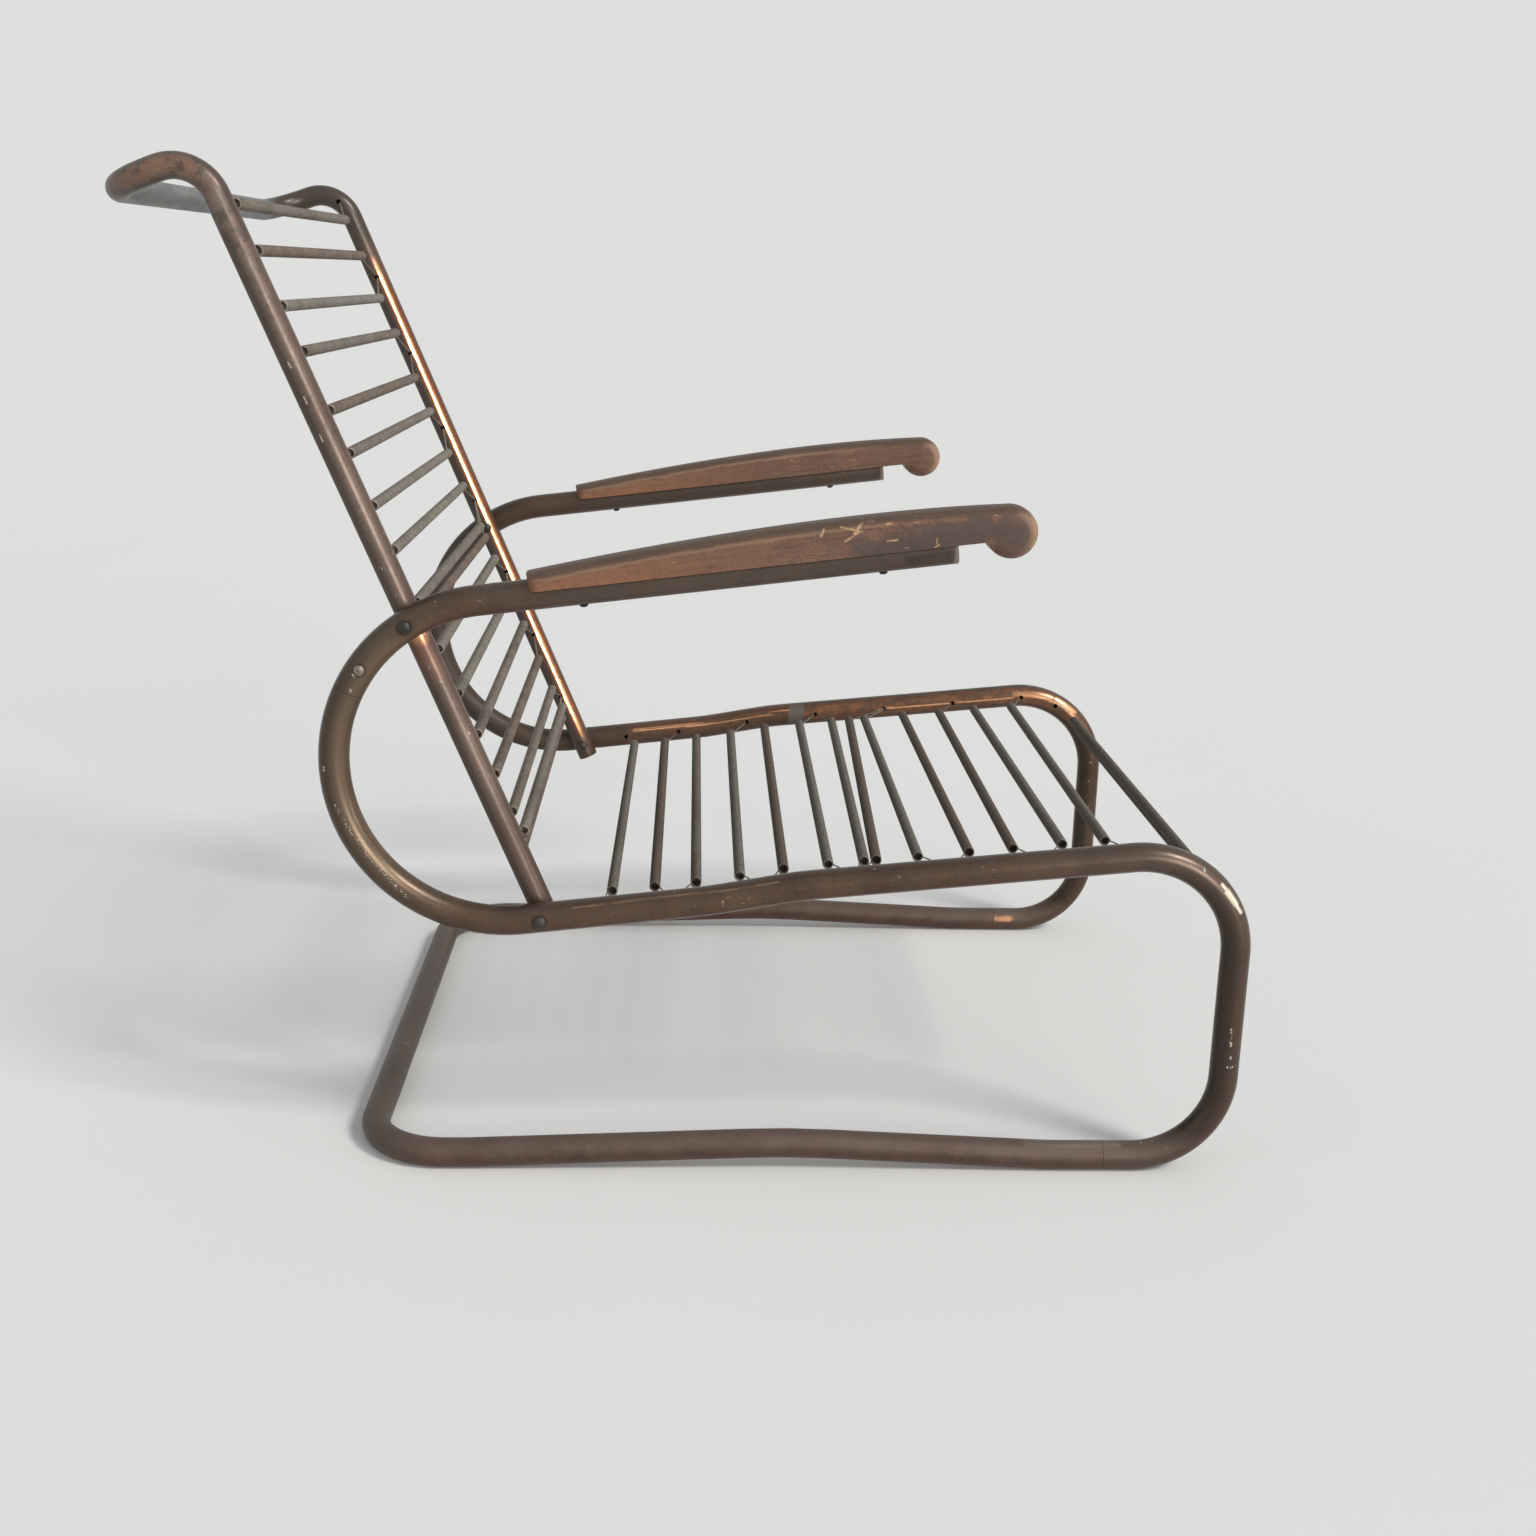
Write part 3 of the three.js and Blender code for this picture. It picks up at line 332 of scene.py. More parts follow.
class Nodes(Tree):
    """A material's node tree. The body is its colour so far."""

    def __init__(self, name):
        self.material = bpy.data.materials.new(name)
        super().__init__(self.material)
        self.coords = self.add("TexCoord")["Object"]

    def stretched(self, scale, turn=(0, 0, 0), kind="POINT"):
        """Coordinates stretched and then turned, or with the kind TEXTURE turned first."""
        return self.add("Mapping", {"Vector": self.coords, "Scale": scale, "Rotation": turn}, vector_type=kind)[0]

    def vector(self, operation, a, b):
        return self.add("VectorMath", {0: a, 1: b}, operation=operation)

    def folded(self, operation, values):
        result = values[0]
        for value in values[1:]:
            result = self.math(operation, result, value)
        return result

    def product(self, *values):
        return self.folded("MULTIPLY", values)

    def total(self, *values):
        return self.folded("ADD", values)

    def highest(self, *values):
        return self.folded("MAXIMUM", (0.0, *values))

    def other(self, mask):
        return self.math("SUBTRACT", 1.0, mask)

    def noise(self, scale, detail=4, roughness=0.6, vector=None, distortion=0):
        return self.add("TexNoise", {"Vector": vector or self.coords, "Scale": scale, "Detail": detail,
                                     "Roughness": roughness, "Distortion": distortion})["Fac"]

    def ragged(self, noise, reach):
        """Noise about zero, to tear an edge with."""
        return self.product(self.math("SUBTRACT", noise, 0.5), reach)

    def ramp(self, value, low, high):
        """Zero at the first value and one at the second."""
        return self.add("MapRange", {"Value": value, "From Min": low, "From Max": high}, clamp=True)["Result"]

    def mottle(self, scale, detail, roughness, low, high, vector=None):
        return self.ramp(self.noise(scale, detail, roughness, vector), low, high)

    def mix(self, fac, a, b):
        return self.add("Mix", {0: fac, 6: a, 7: b}, data_type="RGBA")[2]

    def blend(self, fac, a, b):
        return self.add("Mix", {0: fac, 2: a, 3: b}, data_type="FLOAT")[0]

    def paint(self, colour, *masks):
        """Puts a colour over the body where all the masks are; a number among them is its weight."""
        self.body = self.mix(self.product(*masks), self.body, colour)

    def bump(self, height, strength, distance, after=None):
        values = {"Strength": strength, "Distance": distance, "Height": height}
        return self.add("Bump", {**values, "Normal": after} if after else values)["Normal"]

    def near(self, point, radius, soft=0.5):
        """One inside a ball round a point of the chair, falling to zero at its radius."""
        away = self.vector("DISTANCE", self.coords, tuple(place(*point)))["Value"]
        return self.ramp(away, radius * MM, radius * MM * (1 - soft))

    def offset_from(self, point):
        """The way here from a point that is given as X and Z, as seen from the side."""
        flat = self.vector("MULTIPLY", self.coords, (1.0, 0.0, 1.0))["Vector"]
        return self.vector("SUBTRACT", flat, tuple(place(point[0], 0, point[1])))["Vector"]

    def stroke(self, start, end, width):
        """One along a line between two points that are given as X and Z, as seen from the side."""
        span = place(end[0], 0, end[1]) - place(start[0], 0, start[1])
        offset = self.offset_from(start)
        share = self.ramp(self.vector("DOT_PRODUCT", offset, tuple(span / span.length_squared))["Value"], 0, 1)
        foot = self.add("VectorMath", {0: tuple(span), "Scale": share}, operation="SCALE")["Vector"]
        away = self.vector("DISTANCE", offset, foot)["Value"]
        return self.ramp(away, width * MM, 0.4 * width * MM)

    def within(self, value, low, high, soft):
        """One between two values, falling to zero a little outside them."""
        return self.product(self.ramp(value, low - soft, low), self.ramp(value, high + soft, high))

    def flakes(self, lines, width, threshold):
        """Small flakes off the finish along the given lines, which are X and Z of both ends."""
        around = self.highest(*[self.stroke(*line, width) for line in lines])
        return self.product(around, self.mottle(750, 3, 0.6, threshold, threshold + 0.03))

    def finish(self, roughness, metallic, normal, specular=0.5):
        self.fill(self.tree.nodes["Principled BSDF"],
                  {"Base Color": self.body, "Roughness": roughness, "Metallic": metallic,
                   "Specular IOR Level": specular, "Normal": normal})
        return self.material


# Grain of wear and noise that runs along a rail or runner
LENGTHWISE = (0.12, 1, 1)


class Surface(Nodes):
    """Nodes that also know how far the surface looks inwards, forwards and upwards, and where it is."""

    def __init__(self, name):
        super().__init__(name)
        normal = self.add("SeparateXYZ", {0: self.add("NewGeometry")["Normal"]})
        self.x, self.y, self.z = self.add("SeparateXYZ", {0: self.coords})
        self.inward = self.product(self.math("SIGN", self.y), -1.0, normal[1])
        self.forward, self.up = normal[0], normal[2]

    def x_ramp(self, low, high, *torn):
        return self.ramp(self.total(self.x, *torn), chair_x(low), chair_x(high))

    def x_within(self, low, high, soft, *torn):
        return self.within(self.total(self.x, *torn), chair_x(low), chair_x(high), soft)

    def far(self):
        """One on the left side, which is the far one in the photo."""
        return self.ramp(self.y, -0.05, 0.05)

    def along(self, inward, forward, up):
        """One where the surface looks in the given direction."""
        return self.total(self.product(self.inward, inward), self.product(self.forward, forward),
                          self.product(self.up, up))

    def raised(self, elevation):
        """One where the surface looks inwards, raised by an angle in degrees."""
        tilt = math.radians(elevation)
        return self.along(math.cos(tilt), 0.0, math.sin(tilt))

    def patina(self, dark, mid, red):
        """Brown oxide over copper plating, in clouds, with redder and darker mottles."""
        self.body = self.mix(self.mottle(16, 5, 0.65, 0.3, 0.7), dark, mid)
        self.paint(red, self.mottle(110, 6, 0.72, 0.45, 0.65), 0.5)
        self.paint((0.025, 0.018, 0.014), self.mottle(430, 4, 0.75, 0.55, 0.67), 0.5)
        self.paint((0.045, 0.03, 0.022), self.mottle(75, 6, 0.8, 0.55, 0.67), 0.45)

    def patina_finish(self, rough, metal):
        """Adds the pale specks of the worn finish and its fine pitting."""
        self.paint((0.5, 0.44, 0.36), self.mottle(190, 5, 0.78, 0.64, 0.66),
                   self.mottle(7, 3, 0.6, 0.56, 0.62), 0.8)
        normal = self.bump(self.noise(1400, 3, 0.6), 0.12, 0.0002)
        pits = self.total(self.noise(110, 6, 0.72), self.product(self.noise(260, 3, 0.6), 0.5))
        return self.finish(rough, metal, self.bump(pits, 0.12, 0.0004, normal), 0.35)

    # The colour of bare copper, also used for painted highlights and reflections
    def bare_copper_and_highlight(self):
        return self.mix(self.mottle(110, 6, 0.72, 0.35, 0.6), (0.72, 0.3, 0.14), (0.95, 0.52, 0.29))

    def dust(self, *masks):
        """Dust on the upper sides of the tubes near the floor. Gives where it lies."""
        above = self.total(self.product(self.up, 0.5), self.noise(30, 5, 0.7))
        settled = self.product(self.ramp(above, 0.35, 1.0), *masks, 0.5)
        self.paint((0.165, 0.123, 0.1), settled)
        return settled

    def worn_top(self, first, last, *masks):
        """The strip along the top of the right runner that is worn down to the steel."""
        rubbed = self.mottle(70, 4, 0.6, 0.3, 0.55, self.stretched(LENGTHWISE))
        self.paint((0.3, 0.25, 0.21), self.x_within(first, last, 0.004), self.ramp(self.up, 0.72, 0.92),
                   self.ramp(self.y, 0.0, -0.05), *masks, rubbed, 0.55)


# Painted reflection lines on the inner sides of the seat rails: elevation, first and last X, and weight
RAIL_REFLECTION_LINES = ((36, -530, -353, 1.0), (26.5, -530, -440, 0.9), (21.5, -470, -377, 0.7), (1, -250, -97, 0.9))

# Mottled copper round them: elevation, first and last X, low and high end of the ramp, and weight
RAIL_COPPER = ((36, -535, -353, 0.55, 0.95, 0.55), (14, -334, 6, 0.55, 0.85, 1.0))

# A bare polished place on the front bend, painted as bright as its glint, in strokes with their widths, and a
# painted highlight line along the rail
POLISHED_GLINT_PLACE = (((-20, 267), (-12, 258), 2), ((-15, 261), (-6.5, 249.5), 3.3), ((-8, 251), (-1.8, 242.5), 2.1))
RAIL_HIGHLIGHT_LINE = ((-562, 240.2), (-497.4, 249), (-436, 256.5), (-391.6, 264.6))

# Where the finish has flaked off: along the rear curve, in single places, and on the back upright
CURVE_FLAKES = ((-753, 328), (-742, 307), (-725, 281), (-709, 262), (-695, 247))
SINGLE_FLAKES = (((-737, 424), (-737, 422)), ((-735, 436), (-734, 434)), ((-761, 359), (-761, 356)),
                 ((-1, 137), (0, 122)), ((1, 112), (1, 110)), ((3, 102), (-1, 102)), ((-37, 282), (-36, 279)))
UPRIGHT_FLAKES = (((-780, 676), (-778, 672)), ((-769, 650), (-767, 645)), ((-758, 621), (-756, 616)))


def rail_painted_reflections(n):
    """Painted reflections in bright copper: thin lines along the seat rails, and two dashes at the far front."""
    ragged = n.ragged(n.noise(160, 5, 0.7, n.stretched(LENGTHWISE)), 0.004)
    gaps = n.mottle(70, 5, 0.75, 0.28, 0.34)
    lines = [n.product(n.ramp(n.total(n.raised(elevation), ragged), 0.9958, 0.9984),
                       n.x_within(first, last, 0.004), gaps, weight)
             for elevation, first, last, weight in RAIL_REFLECTION_LINES]
    looking_in = n.ramp(n.inward, 0.55, 0.8)
    lines.append(n.product(n.stroke((-94, 291), (-52, 288.5), 4), looking_in, n.far(), 0.35))
    lines.append(n.product(n.stroke((-43, 285.5), (-22, 271), 3.6), looking_in, n.far()))
    return n.product(n.highest(*lines), n.ramp(n.z, 0.22, 0.235))


def rail_copper(n):
    """Warmer mottled copper on the inner sides of the rails, higher up behind than in front."""
    fine = n.mottle(150, 6, 0.8, 0.36, 0.56, n.stretched((0.35, 1, 1)))
    on_rail = n.product(n.ramp(n.z, 0.215, 0.225), n.ramp(n.z, 0.33, 0.31), n.mottle(95, 6, 0.75, 0.34, 0.6),
                        fine, 1.15)
    parts = [n.product(n.ramp(n.raised(elevation), low, high), n.x_within(first, last, 0.006), weight)
             for elevation, first, last, low, high, weight in RAIL_COPPER]
    above_front = n.math("MAXIMUM", n.x_ramp(-50, -90), n.ramp(n.z, 0.243, 0.266))
    return n.product(n.highest(*parts), on_rail, above_front)


def side_tube(name):
    n = Surface(name)
    far = n.far()
    right = n.other(far)
    n.patina((0.08, 0.048, 0.03), (0.16, 0.1, 0.066), (0.16, 0.072, 0.04))
    n.paint((0.07, 0.058, 0.05), n.ramp(n.up, 0.4, 0.9), 0.4)
    n.paint((0.12, 0.045, 0.03), n.ramp(n.up, -0.3, -0.8), 0.5)

    # Large areas: the rear curve, the front bend, painted shade on the sides that look back and low on the front,
    # and the arm
    curve = n.x_ramp(-650, -715)
    low_curve = n.ramp(n.z, 0.5, 0.46)
    n.paint((0.15, 0.115, 0.078), curve, 0.5)
    n.paint((0.05, 0.034, 0.024), curve, far, 0.78)
    n.paint((0.05, 0.034, 0.024), n.x_ramp(-560, -620), low_curve, far, 0.5)
    n.paint((0.112, 0.087, 0.073), n.x_ramp(-200, -60), right, 0.5)
    # Painted shade low on the front upright
    n.paint((0.045, 0.026, 0.017), n.x_ramp(-110, -30), n.ramp(n.z, 0.28, 0.2), 0.6)
    # Painted shade on the sides that look back
    n.paint((0.036, 0.027, 0.021), n.ramp(n.forward, 0.3, -0.4), 0.72)
    arm = n.product(n.ramp(n.z, 0.47, 0.49), n.x_ramp(-640, -560))
    n.paint((0.088, 0.075, 0.062), arm, 0.5)
    dull = n.product(n.x_ramp(-540, -600), low_curve, far)
    metal = n.blend(dull, 0.5, 0.22)
    rough = n.blend(n.product(dull, 0.8), n.blend(n.mottle(60, 5, 0.7, 0.3, 0.7), 0.25, 0.36), 0.52)

    # The foot, as dusty and worn as the runner behind it
    foot = n.ramp(n.z, 0.04, 0.025)
    n.paint((0.085, 0.055, 0.04), foot, 0.6)
    metal = n.blend(foot, metal, 0.35)
    rough = n.blend(n.dust(foot), n.blend(foot, rough, 0.41), 0.65)
    n.worn_top(-110, -88, foot)

    # Bare copper, and the painted reflection lines along the rails
    warm = rail_copper(n)
    n.paint((0.285, 0.125, 0.064), warm, 0.85)
    torn = n.ragged(n.noise(240, 5, 0.8), 0.17)
    patch = n.product(n.x_within(-102, -83, 0.004, n.product(torn, 0.12)), far, foot,
                      n.ramp(n.total(n.along(0.95, 0.0, 0.31), torn), 0.945, 0.985), 0.42)
    bright = n.highest(rail_painted_reflections(n), patch)
    n.paint(n.bare_copper_and_highlight(), bright)
    metal = n.blend(n.highest(n.product(warm, 0.8), bright), metal, 1.0)
    rough = n.blend(bright, rough, 0.22)

    # The grey band on the far rail
    band = n.product(n.x_within(-352, -338, 0.003), n.ramp(n.z, 0.22, 0.24), n.ramp(n.z, 0.32, 0.3), far)
    n.paint((0.1, 0.085, 0.072), band, 0.9)
    rough = n.blend(band, rough, 0.6)
    metal = n.blend(band, metal, 0.1)

    # Marks on the outer face of the right side, and darker rings round the fasteners
    outer = n.product(right, n.ramp(n.inward, -0.1, -0.5))
    n.paint((0.02, 0.018, 0.015), n.stroke((-296, 534.5), (-266, 538.5), 6), outer,
            n.mottle(60, 5, 0.7, 0.3, 0.6), 0.5)
    rings = [n.near((point.x, -SIDE_REACH - FRAME_RADIUS, point.z), radius, 0.4)
             for point, radius in ((ARM_CROSS, 9), (BACK_CROSS, 8), (JOINT_SCREW, 7))]
    n.paint((0.03, 0.022, 0.017), n.highest(*rings), 0.75)
    n.paint((0.3, 0.28, 0.25), n.x_ramp(ARM_END[0] - 4, ARM_END[0] - 1), arm, 0.7)
    flaked = n.highest(n.flakes(zip(CURVE_FLAKES, CURVE_FLAKES[1:]), 1.7, 0.58),
                       n.flakes(SINGLE_FLAKES, 1.3, 0.5))
    n.paint((0.7, 0.62, 0.5), flaked, outer, 0.9)
    # A bare polished place, painted with its bright glint
    n.paint((0.6, 0.54, 0.43), n.highest(*[n.stroke(*mark) for mark in POLISHED_GLINT_PLACE]), outer)
    # A painted highlight line along the rail
    line = n.highest(*[n.stroke(*ends, 0.95) for ends in zip(RAIL_HIGHLIGHT_LINE, RAIL_HIGHLIGHT_LINE[1:])])
    n.paint((0.4, 0.25, 0.155), line, outer, n.mottle(120, 5, 0.75, 0.36, 0.5, n.stretched((0.3, 1, 1))), 0.34)
    return n.patina_finish(rough, metal)


def back_tube(name):
    n = Surface(name)
    far = n.far()
    right = n.other(far)

    def turned_forward(degrees):
        """One where the surface looks inwards, turned to the front of the leaning back by an angle."""
        turn = math.radians(degrees)
        return n.along(math.cos(turn), math.sin(turn) * math.cos(BACK_LEAN),
                       math.sin(turn) * math.sin(BACK_LEAN))

    n.patina((0.115, 0.082, 0.066), (0.19, 0.14, 0.116), (0.155, 0.085, 0.06))
    n.paint((0.075, 0.045, 0.032), far, 0.6)

    # The curl over the top and the shoulder under it
    curl = n.ramp(n.z, 0.765, 0.785)
    # Painted shade on the edges of the right curl
    n.paint((0.05, 0.038, 0.03), curl, right, n.ramp(n.inward, -0.92, -0.55), 0.7)
    n.paint((0.2, 0.098, 0.055), curl, right, n.x_ramp(-828, -850), n.ramp(n.inward, -0.5, -0.9),
            n.mottle(70, 6, 0.75, 0.3, 0.62), 0.72)
    n.paint((0.042, 0.038, 0.034), n.ramp(n.z, 0.69, 0.77), right, n.mottle(95, 5, 0.8, 0.5, 0.6), 0.7)
    n.paint((0.055, 0.05, 0.04), curl, far, 0.75)

    # Painted shade on the sides of the uprights that look back and forwards, and their darker lower ends
    across = n.total(n.product(n.forward, math.cos(BACK_LEAN)), n.product(n.up, math.sin(BACK_LEAN)))
    behind = n.product(n.ramp(across, 0.25, -0.4), n.ramp(n.z, 0.785, 0.765), 0.75)
    n.paint((0.042, 0.03, 0.024), behind)
    n.paint((0.085, 0.045, 0.032), n.ramp(across, 0.6, 0.95), right, 0.5)
    rough = n.blend(behind, n.blend(n.mottle(60, 5, 0.7, 0.3, 0.7), 0.27, 0.4), 0.62)
    metal = n.blend(right, 0.45, n.blend(n.ramp(n.z, 0.68, 0.76), 0.36, 0.2))
    metal = n.blend(behind, metal, 0.05)
    n.paint((0.075, 0.043, 0.031), n.ramp(n.z, 0.37, 0.27), 0.55)

    # Copper: the halo inside the uprights with a painted reflection line along it, and a painted orange highlight
    # under the right arm
    below = n.product(n.ramp(n.z, 0.76, 0.73), n.ramp(n.z, 0.235, 0.26))
    halo = n.product(n.ramp(turned_forward(38), 0.72, 0.93), below, n.mottle(90, 5, 0.7, 0.25, 0.5), 0.85)
    n.paint((0.27, 0.1, 0.048), halo)
    line = n.total(turned_forward(25), n.ragged(n.noise(140, 5, 0.7), 0.06))
    outer = n.ramp(n.inward, -0.2, -0.6)
    # Painted glow round the highlight under the right arm
    n.paint((0.26, 0.11, 0.062), n.near((-680, -290, 455), 40, 0.9), outer, 0.4)
    bright = n.highest(n.product(n.ramp(line, 0.97, 0.988), below),
                       n.product(n.near((-686, -290, 470), 17, 0.9), outer))
    n.paint(n.bare_copper_and_highlight(), bright)
    metal = n.blend(n.highest(halo, bright), metal, 1.0)
    rough = n.blend(bright, rough, 0.22)
    n.paint((0.62, 0.52, 0.42), n.flakes(UPRIGHT_FLAKES, 0.75, 0.4), right, 0.8)

    # The bare steel of the head tube
    width = n.total(n.math("ABSOLUTE", n.y), n.ragged(n.noise(55, 5, 0.75), 0.03))
    cross = n.ramp(width, 0.25, 0.24)
    crosswise = n.stretched((1, 0.14, 1))
    steel = n.mix(n.mottle(45, 5, 0.7, 0.35, 0.65, crosswise), (0.115, 0.12, 0.12), (0.25, 0.255, 0.245))
    steel = n.mix(n.product(n.mottle(260, 4, 0.7, 0.55, 0.7, crosswise), 0.5), steel, (0.34, 0.33, 0.3))
    n.paint(steel, cross)
    return n.patina_finish(n.blend(cross, rough, 0.6), n.blend(cross, metal, 0.35))


def floor_tube(name):
    n = Surface(name)
    n.patina((0.05, 0.032, 0.022), (0.102, 0.064, 0.045), (0.115, 0.053, 0.036))
    n.paint((0.1, 0.04, 0.028), n.ramp(n.up, -0.1, -0.7), 0.5)
    rough = n.blend(n.dust(), n.blend(n.mottle(60, 5, 0.7, 0.3, 0.7), 0.34, 0.48), 0.65)
    n.paint((0.062, 0.055, 0.05), n.x_ramp(-690, -725), 0.5)
    n.worn_top(-169, -98)
    return n.patina_finish(rough, 0.35)


def bare_steel(name, low, high):
    n = Nodes(name)
    fine = n.noise(500, 3, 0.6)
    n.body = n.mix(n.mottle(30, 6, 0.7, 0.3, 0.7), low, high)
    n.paint((0.07, 0.05, 0.036), n.mottle(150, 5, 0.75, 0.58, 0.68), 0.6)
    return n.finish(n.blend(n.ramp(fine, 0.3, 0.7), 0.38, 0.6), 0.7, n.bump(fine, 0.2, 0.0002))


# How dusty the springs of each row are, and how much painted shade falls on the sides that look back
SPRING_PALENESS = dict(seat=0.1, back=0.7)
SPRING_SHADE = dict(seat=0.62, back=0.2)


def spring_steel(name, tone, pale, shade):
    """Coil wire: taupe-grey steel that has gone brown by patches along its length."""
    n = Surface(name)
    patches = n.noise(60, 5, 0.7, n.stretched((1, 0.16, 1)))
    fine = n.noise(620, 4, 0.8)
    grain = n.ramp(fine, 0.38, 0.6)
    grey = n.mix(grain, (0.13, 0.117, 0.098), (0.27, 0.245, 0.208))
    brown = n.mix(grain, (0.095, 0.067, 0.052), (0.205, 0.15, 0.118))
    n.body = n.mix(n.ramp(n.total(patches, tone - 0.5), 0.4, 0.62), grey, brown)
    dusty = (0.42 - 0.06 * tone, 0.375 - 0.1 * tone, 0.315 - 0.09 * tone)
    n.paint(dusty, n.mottle(33, 5, 0.8, 0.3, 0.7), pale)
    n.paint((0.06, 0.049, 0.042), n.mottle(300, 4, 0.75, 0.5, 0.62), 0.5)
    # Painted shade on the sides that look back
    behind = n.product(n.ramp(n.forward, 0.35, -0.55), shade)
    n.paint((0.045, 0.038, 0.031), behind)
    rough = n.blend(n.ramp(patches, 0.3, 0.7), 0.42, 0.6)
    return n.finish(rough, n.blend(behind, 0.45, 0.2), n.bump(fine, 0.3, 0.0002))


# Scratches and dents in the outer face of each arm pad: X and Z of both ends, and the width
PAD_MARKS = (
    ((-351, 561), (-334, 558), 1.0), ((-334, 565), (-340, 556), 1.5), ((-336, 558), (-347, 550), 1.0),
    ((-331, 566), (-325, 566), 1.1), ((-366, 554), (-364, 559), 1.3), ((-315, 564), (-311, 565), 1.1),
    ((-314, 551), (-306, 552), 1.0), ((-275, 554), (-275, 550), 0.6), ((-276, 547), (-273, 549), 0.8),
)

# X and Z of the scroll's middle, and how far its dark core reaches
SCROLL_CENTRE = (-214.4, 558)
SCROLL_CORE = (-213, 557)
SCROLL_CORE_RADIUS = 19


def pad_wood(name):
    """Stained hardwood with worn dark places, a rubbed scroll and pale scratches."""
    n = Surface(name)
    grain_space = n.stretched((1, 1 / 12, 1 / 12), (0, -ARM_SLOPE, 0), "TEXTURE")
    pores = n.noise(24, 4, 0.75, grain_space)
    cloud = n.noise(17, 5, 0.65)
    n.body = n.mix(n.ramp(cloud, 0.35, 0.65), (0.125, 0.068, 0.045), (0.185, 0.098, 0.064))
    n.paint((0.13, 0.06, 0.038), n.ramp(n.noise(5, 4, 0.6, grain_space, 0.4), 0.4, 0.62), 0.45)
    n.paint((0.05, 0.03, 0.023), n.ramp(pores, 0.5, 0.64), 0.55)
    n.paint((0.07, 0.042, 0.03), n.mottle(80, 6, 0.8, 0.52, 0.66), 0.4)
    n.paint((0.26, 0.16, 0.1), n.mottle(120, 6, 0.8, 0.54, 0.66), 0.3)
    n.paint((0.05, 0.032, 0.024), n.mottle(380, 4, 0.75, 0.5, 0.62), 0.35)

    # Redder sides at the rear, a lighter ridge that is rubbed and painted with its highlight, and a darker crown
    n.paint((0.27, 0.115, 0.06), n.x_ramp(-390, -540, n.ragged(cloud, 0.25)), n.ramp(n.up, 0.25, 0.0),
            n.mottle(200, 5, 0.8, 0.3, 0.52), 0.75)
    level_up = n.total(n.up, n.ragged(n.noise(60, 5, 0.7), 0.5))
    n.paint((0.27, 0.165, 0.105), n.within(level_up, 0.28, 0.45, 0.14), n.x_ramp(-250, -330), 0.5)
    crown = n.ramp(level_up, 0.35, 0.75)
    n.paint((0.065, 0.049, 0.036), crown, 0.65)

    # Dark places on the outer face: a streak along the arm and the core of the scroll
    outer = n.ramp(n.inward, -0.5, -0.85)
    height = n.total(n.z, n.product(n.x, -math.tan(ARM_SLOPE)))
    level = ARM_END[1] * MM - chair_x(ARM_END[0]) * math.tan(ARM_SLOPE)
    ragged = n.ragged(n.noise(42, 6, 0.7), 0.05)
    streak = n.product(n.x_within(-325, -225, 0.02, n.product(ragged, 2.0)),
                       n.within(n.total(height, ragged), level + 0.003, level + 0.02, 0.005), outer)
    cores = [n.near((SCROLL_CORE[0], y, SCROLL_CORE[1]), SCROLL_CORE_RADIUS, 0.7) for y in (-319, 319)]
    n.paint((0.06, 0.045, 0.041), n.highest(streak, *cores), 0.75)

    # The rubbed rim of the scroll
    offset = n.offset_from(SCROLL_CENTRE)
    reach = n.vector("LENGTH", offset, (0.0, 0.0, 0.0))["Value"]
    toward = n.vector("DOT_PRODUCT", offset, (0.9, 0.0, 0.1))["Value"]
    n.paint((0.36, 0.225, 0.14), n.ramp(reach, 0.0115, 0.0165), n.ramp(toward, 0.001, 0.014),
            n.ramp(n.up, 0.9, 0.6), n.mottle(120, 5, 0.7, 0.2, 0.5), 0.65)

    # Scratches
    marks = n.product(n.highest(*[n.stroke(*mark) for mark in PAD_MARKS]), outer,
                      n.mottle(300, 4, 0.7, 0.3, 0.5))
    fine = n.product(n.mottle(330, 2, 0.5, 0.715, 0.735, n.stretched((0.2, 1, 1), (0, 0.5, 0.2))), 0.6)
    scratches = n.highest(marks, fine)
    n.paint((0.48, 0.3, 0.17), scratches, 0.85)
    rough = n.blend(n.product(crown, 0.6), n.blend(n.ramp(cloud, 0.3, 0.7), 0.4, 0.56), 0.58)
    normal = n.bump(n.other(scratches), 0.5, 0.0004, n.bump(pores, 0.2, 0.0004))
    return n.finish(rough, 0.0, normal, 0.28)


MATERIALS = dict(
    side=side_tube("patina_side"),
    back=back_tube("patina_back"),
    floor=floor_tube("patina_floor"),
    sleeve=bare_steel("sleeve_steel", (0.22, 0.21, 0.19), (0.42, 0.41, 0.38)),
    bare_steel=bare_steel("screw_steel", (0.08, 0.063, 0.048), (0.26, 0.22, 0.18)),
    bolt=bare_steel("bolt_steel", (0.027, 0.025, 0.024), (0.072, 0.068, 0.064)),
    wood=pad_wood("pad_wood"),
)


# Meshes
def circle(centre, across, square, radius, sides):
    angles = [2 * math.pi * k / sides for k in range(sides)]
    return [centre + (across * math.cos(angle) + square * math.sin(angle)) * radius for angle in angles]


def band(first, second, sides):
    """Faces between two rings of vertices whose first numbers are given."""
    return [(first + k, first + (k + 1) % sides, second + (k + 1) % sides, second + k) for k in range(sides)]


def closed(vertices, sides):
    """Vertices and faces of a row of rings, closed at both ends."""
    faces = []
    for first in range(0, len(vertices) - sides, sides):
        faces += band(first, first + sides, sides)
    return vertices, faces + [tuple(range(sides)), tuple(range(len(vertices) - sides, len(vertices)))]


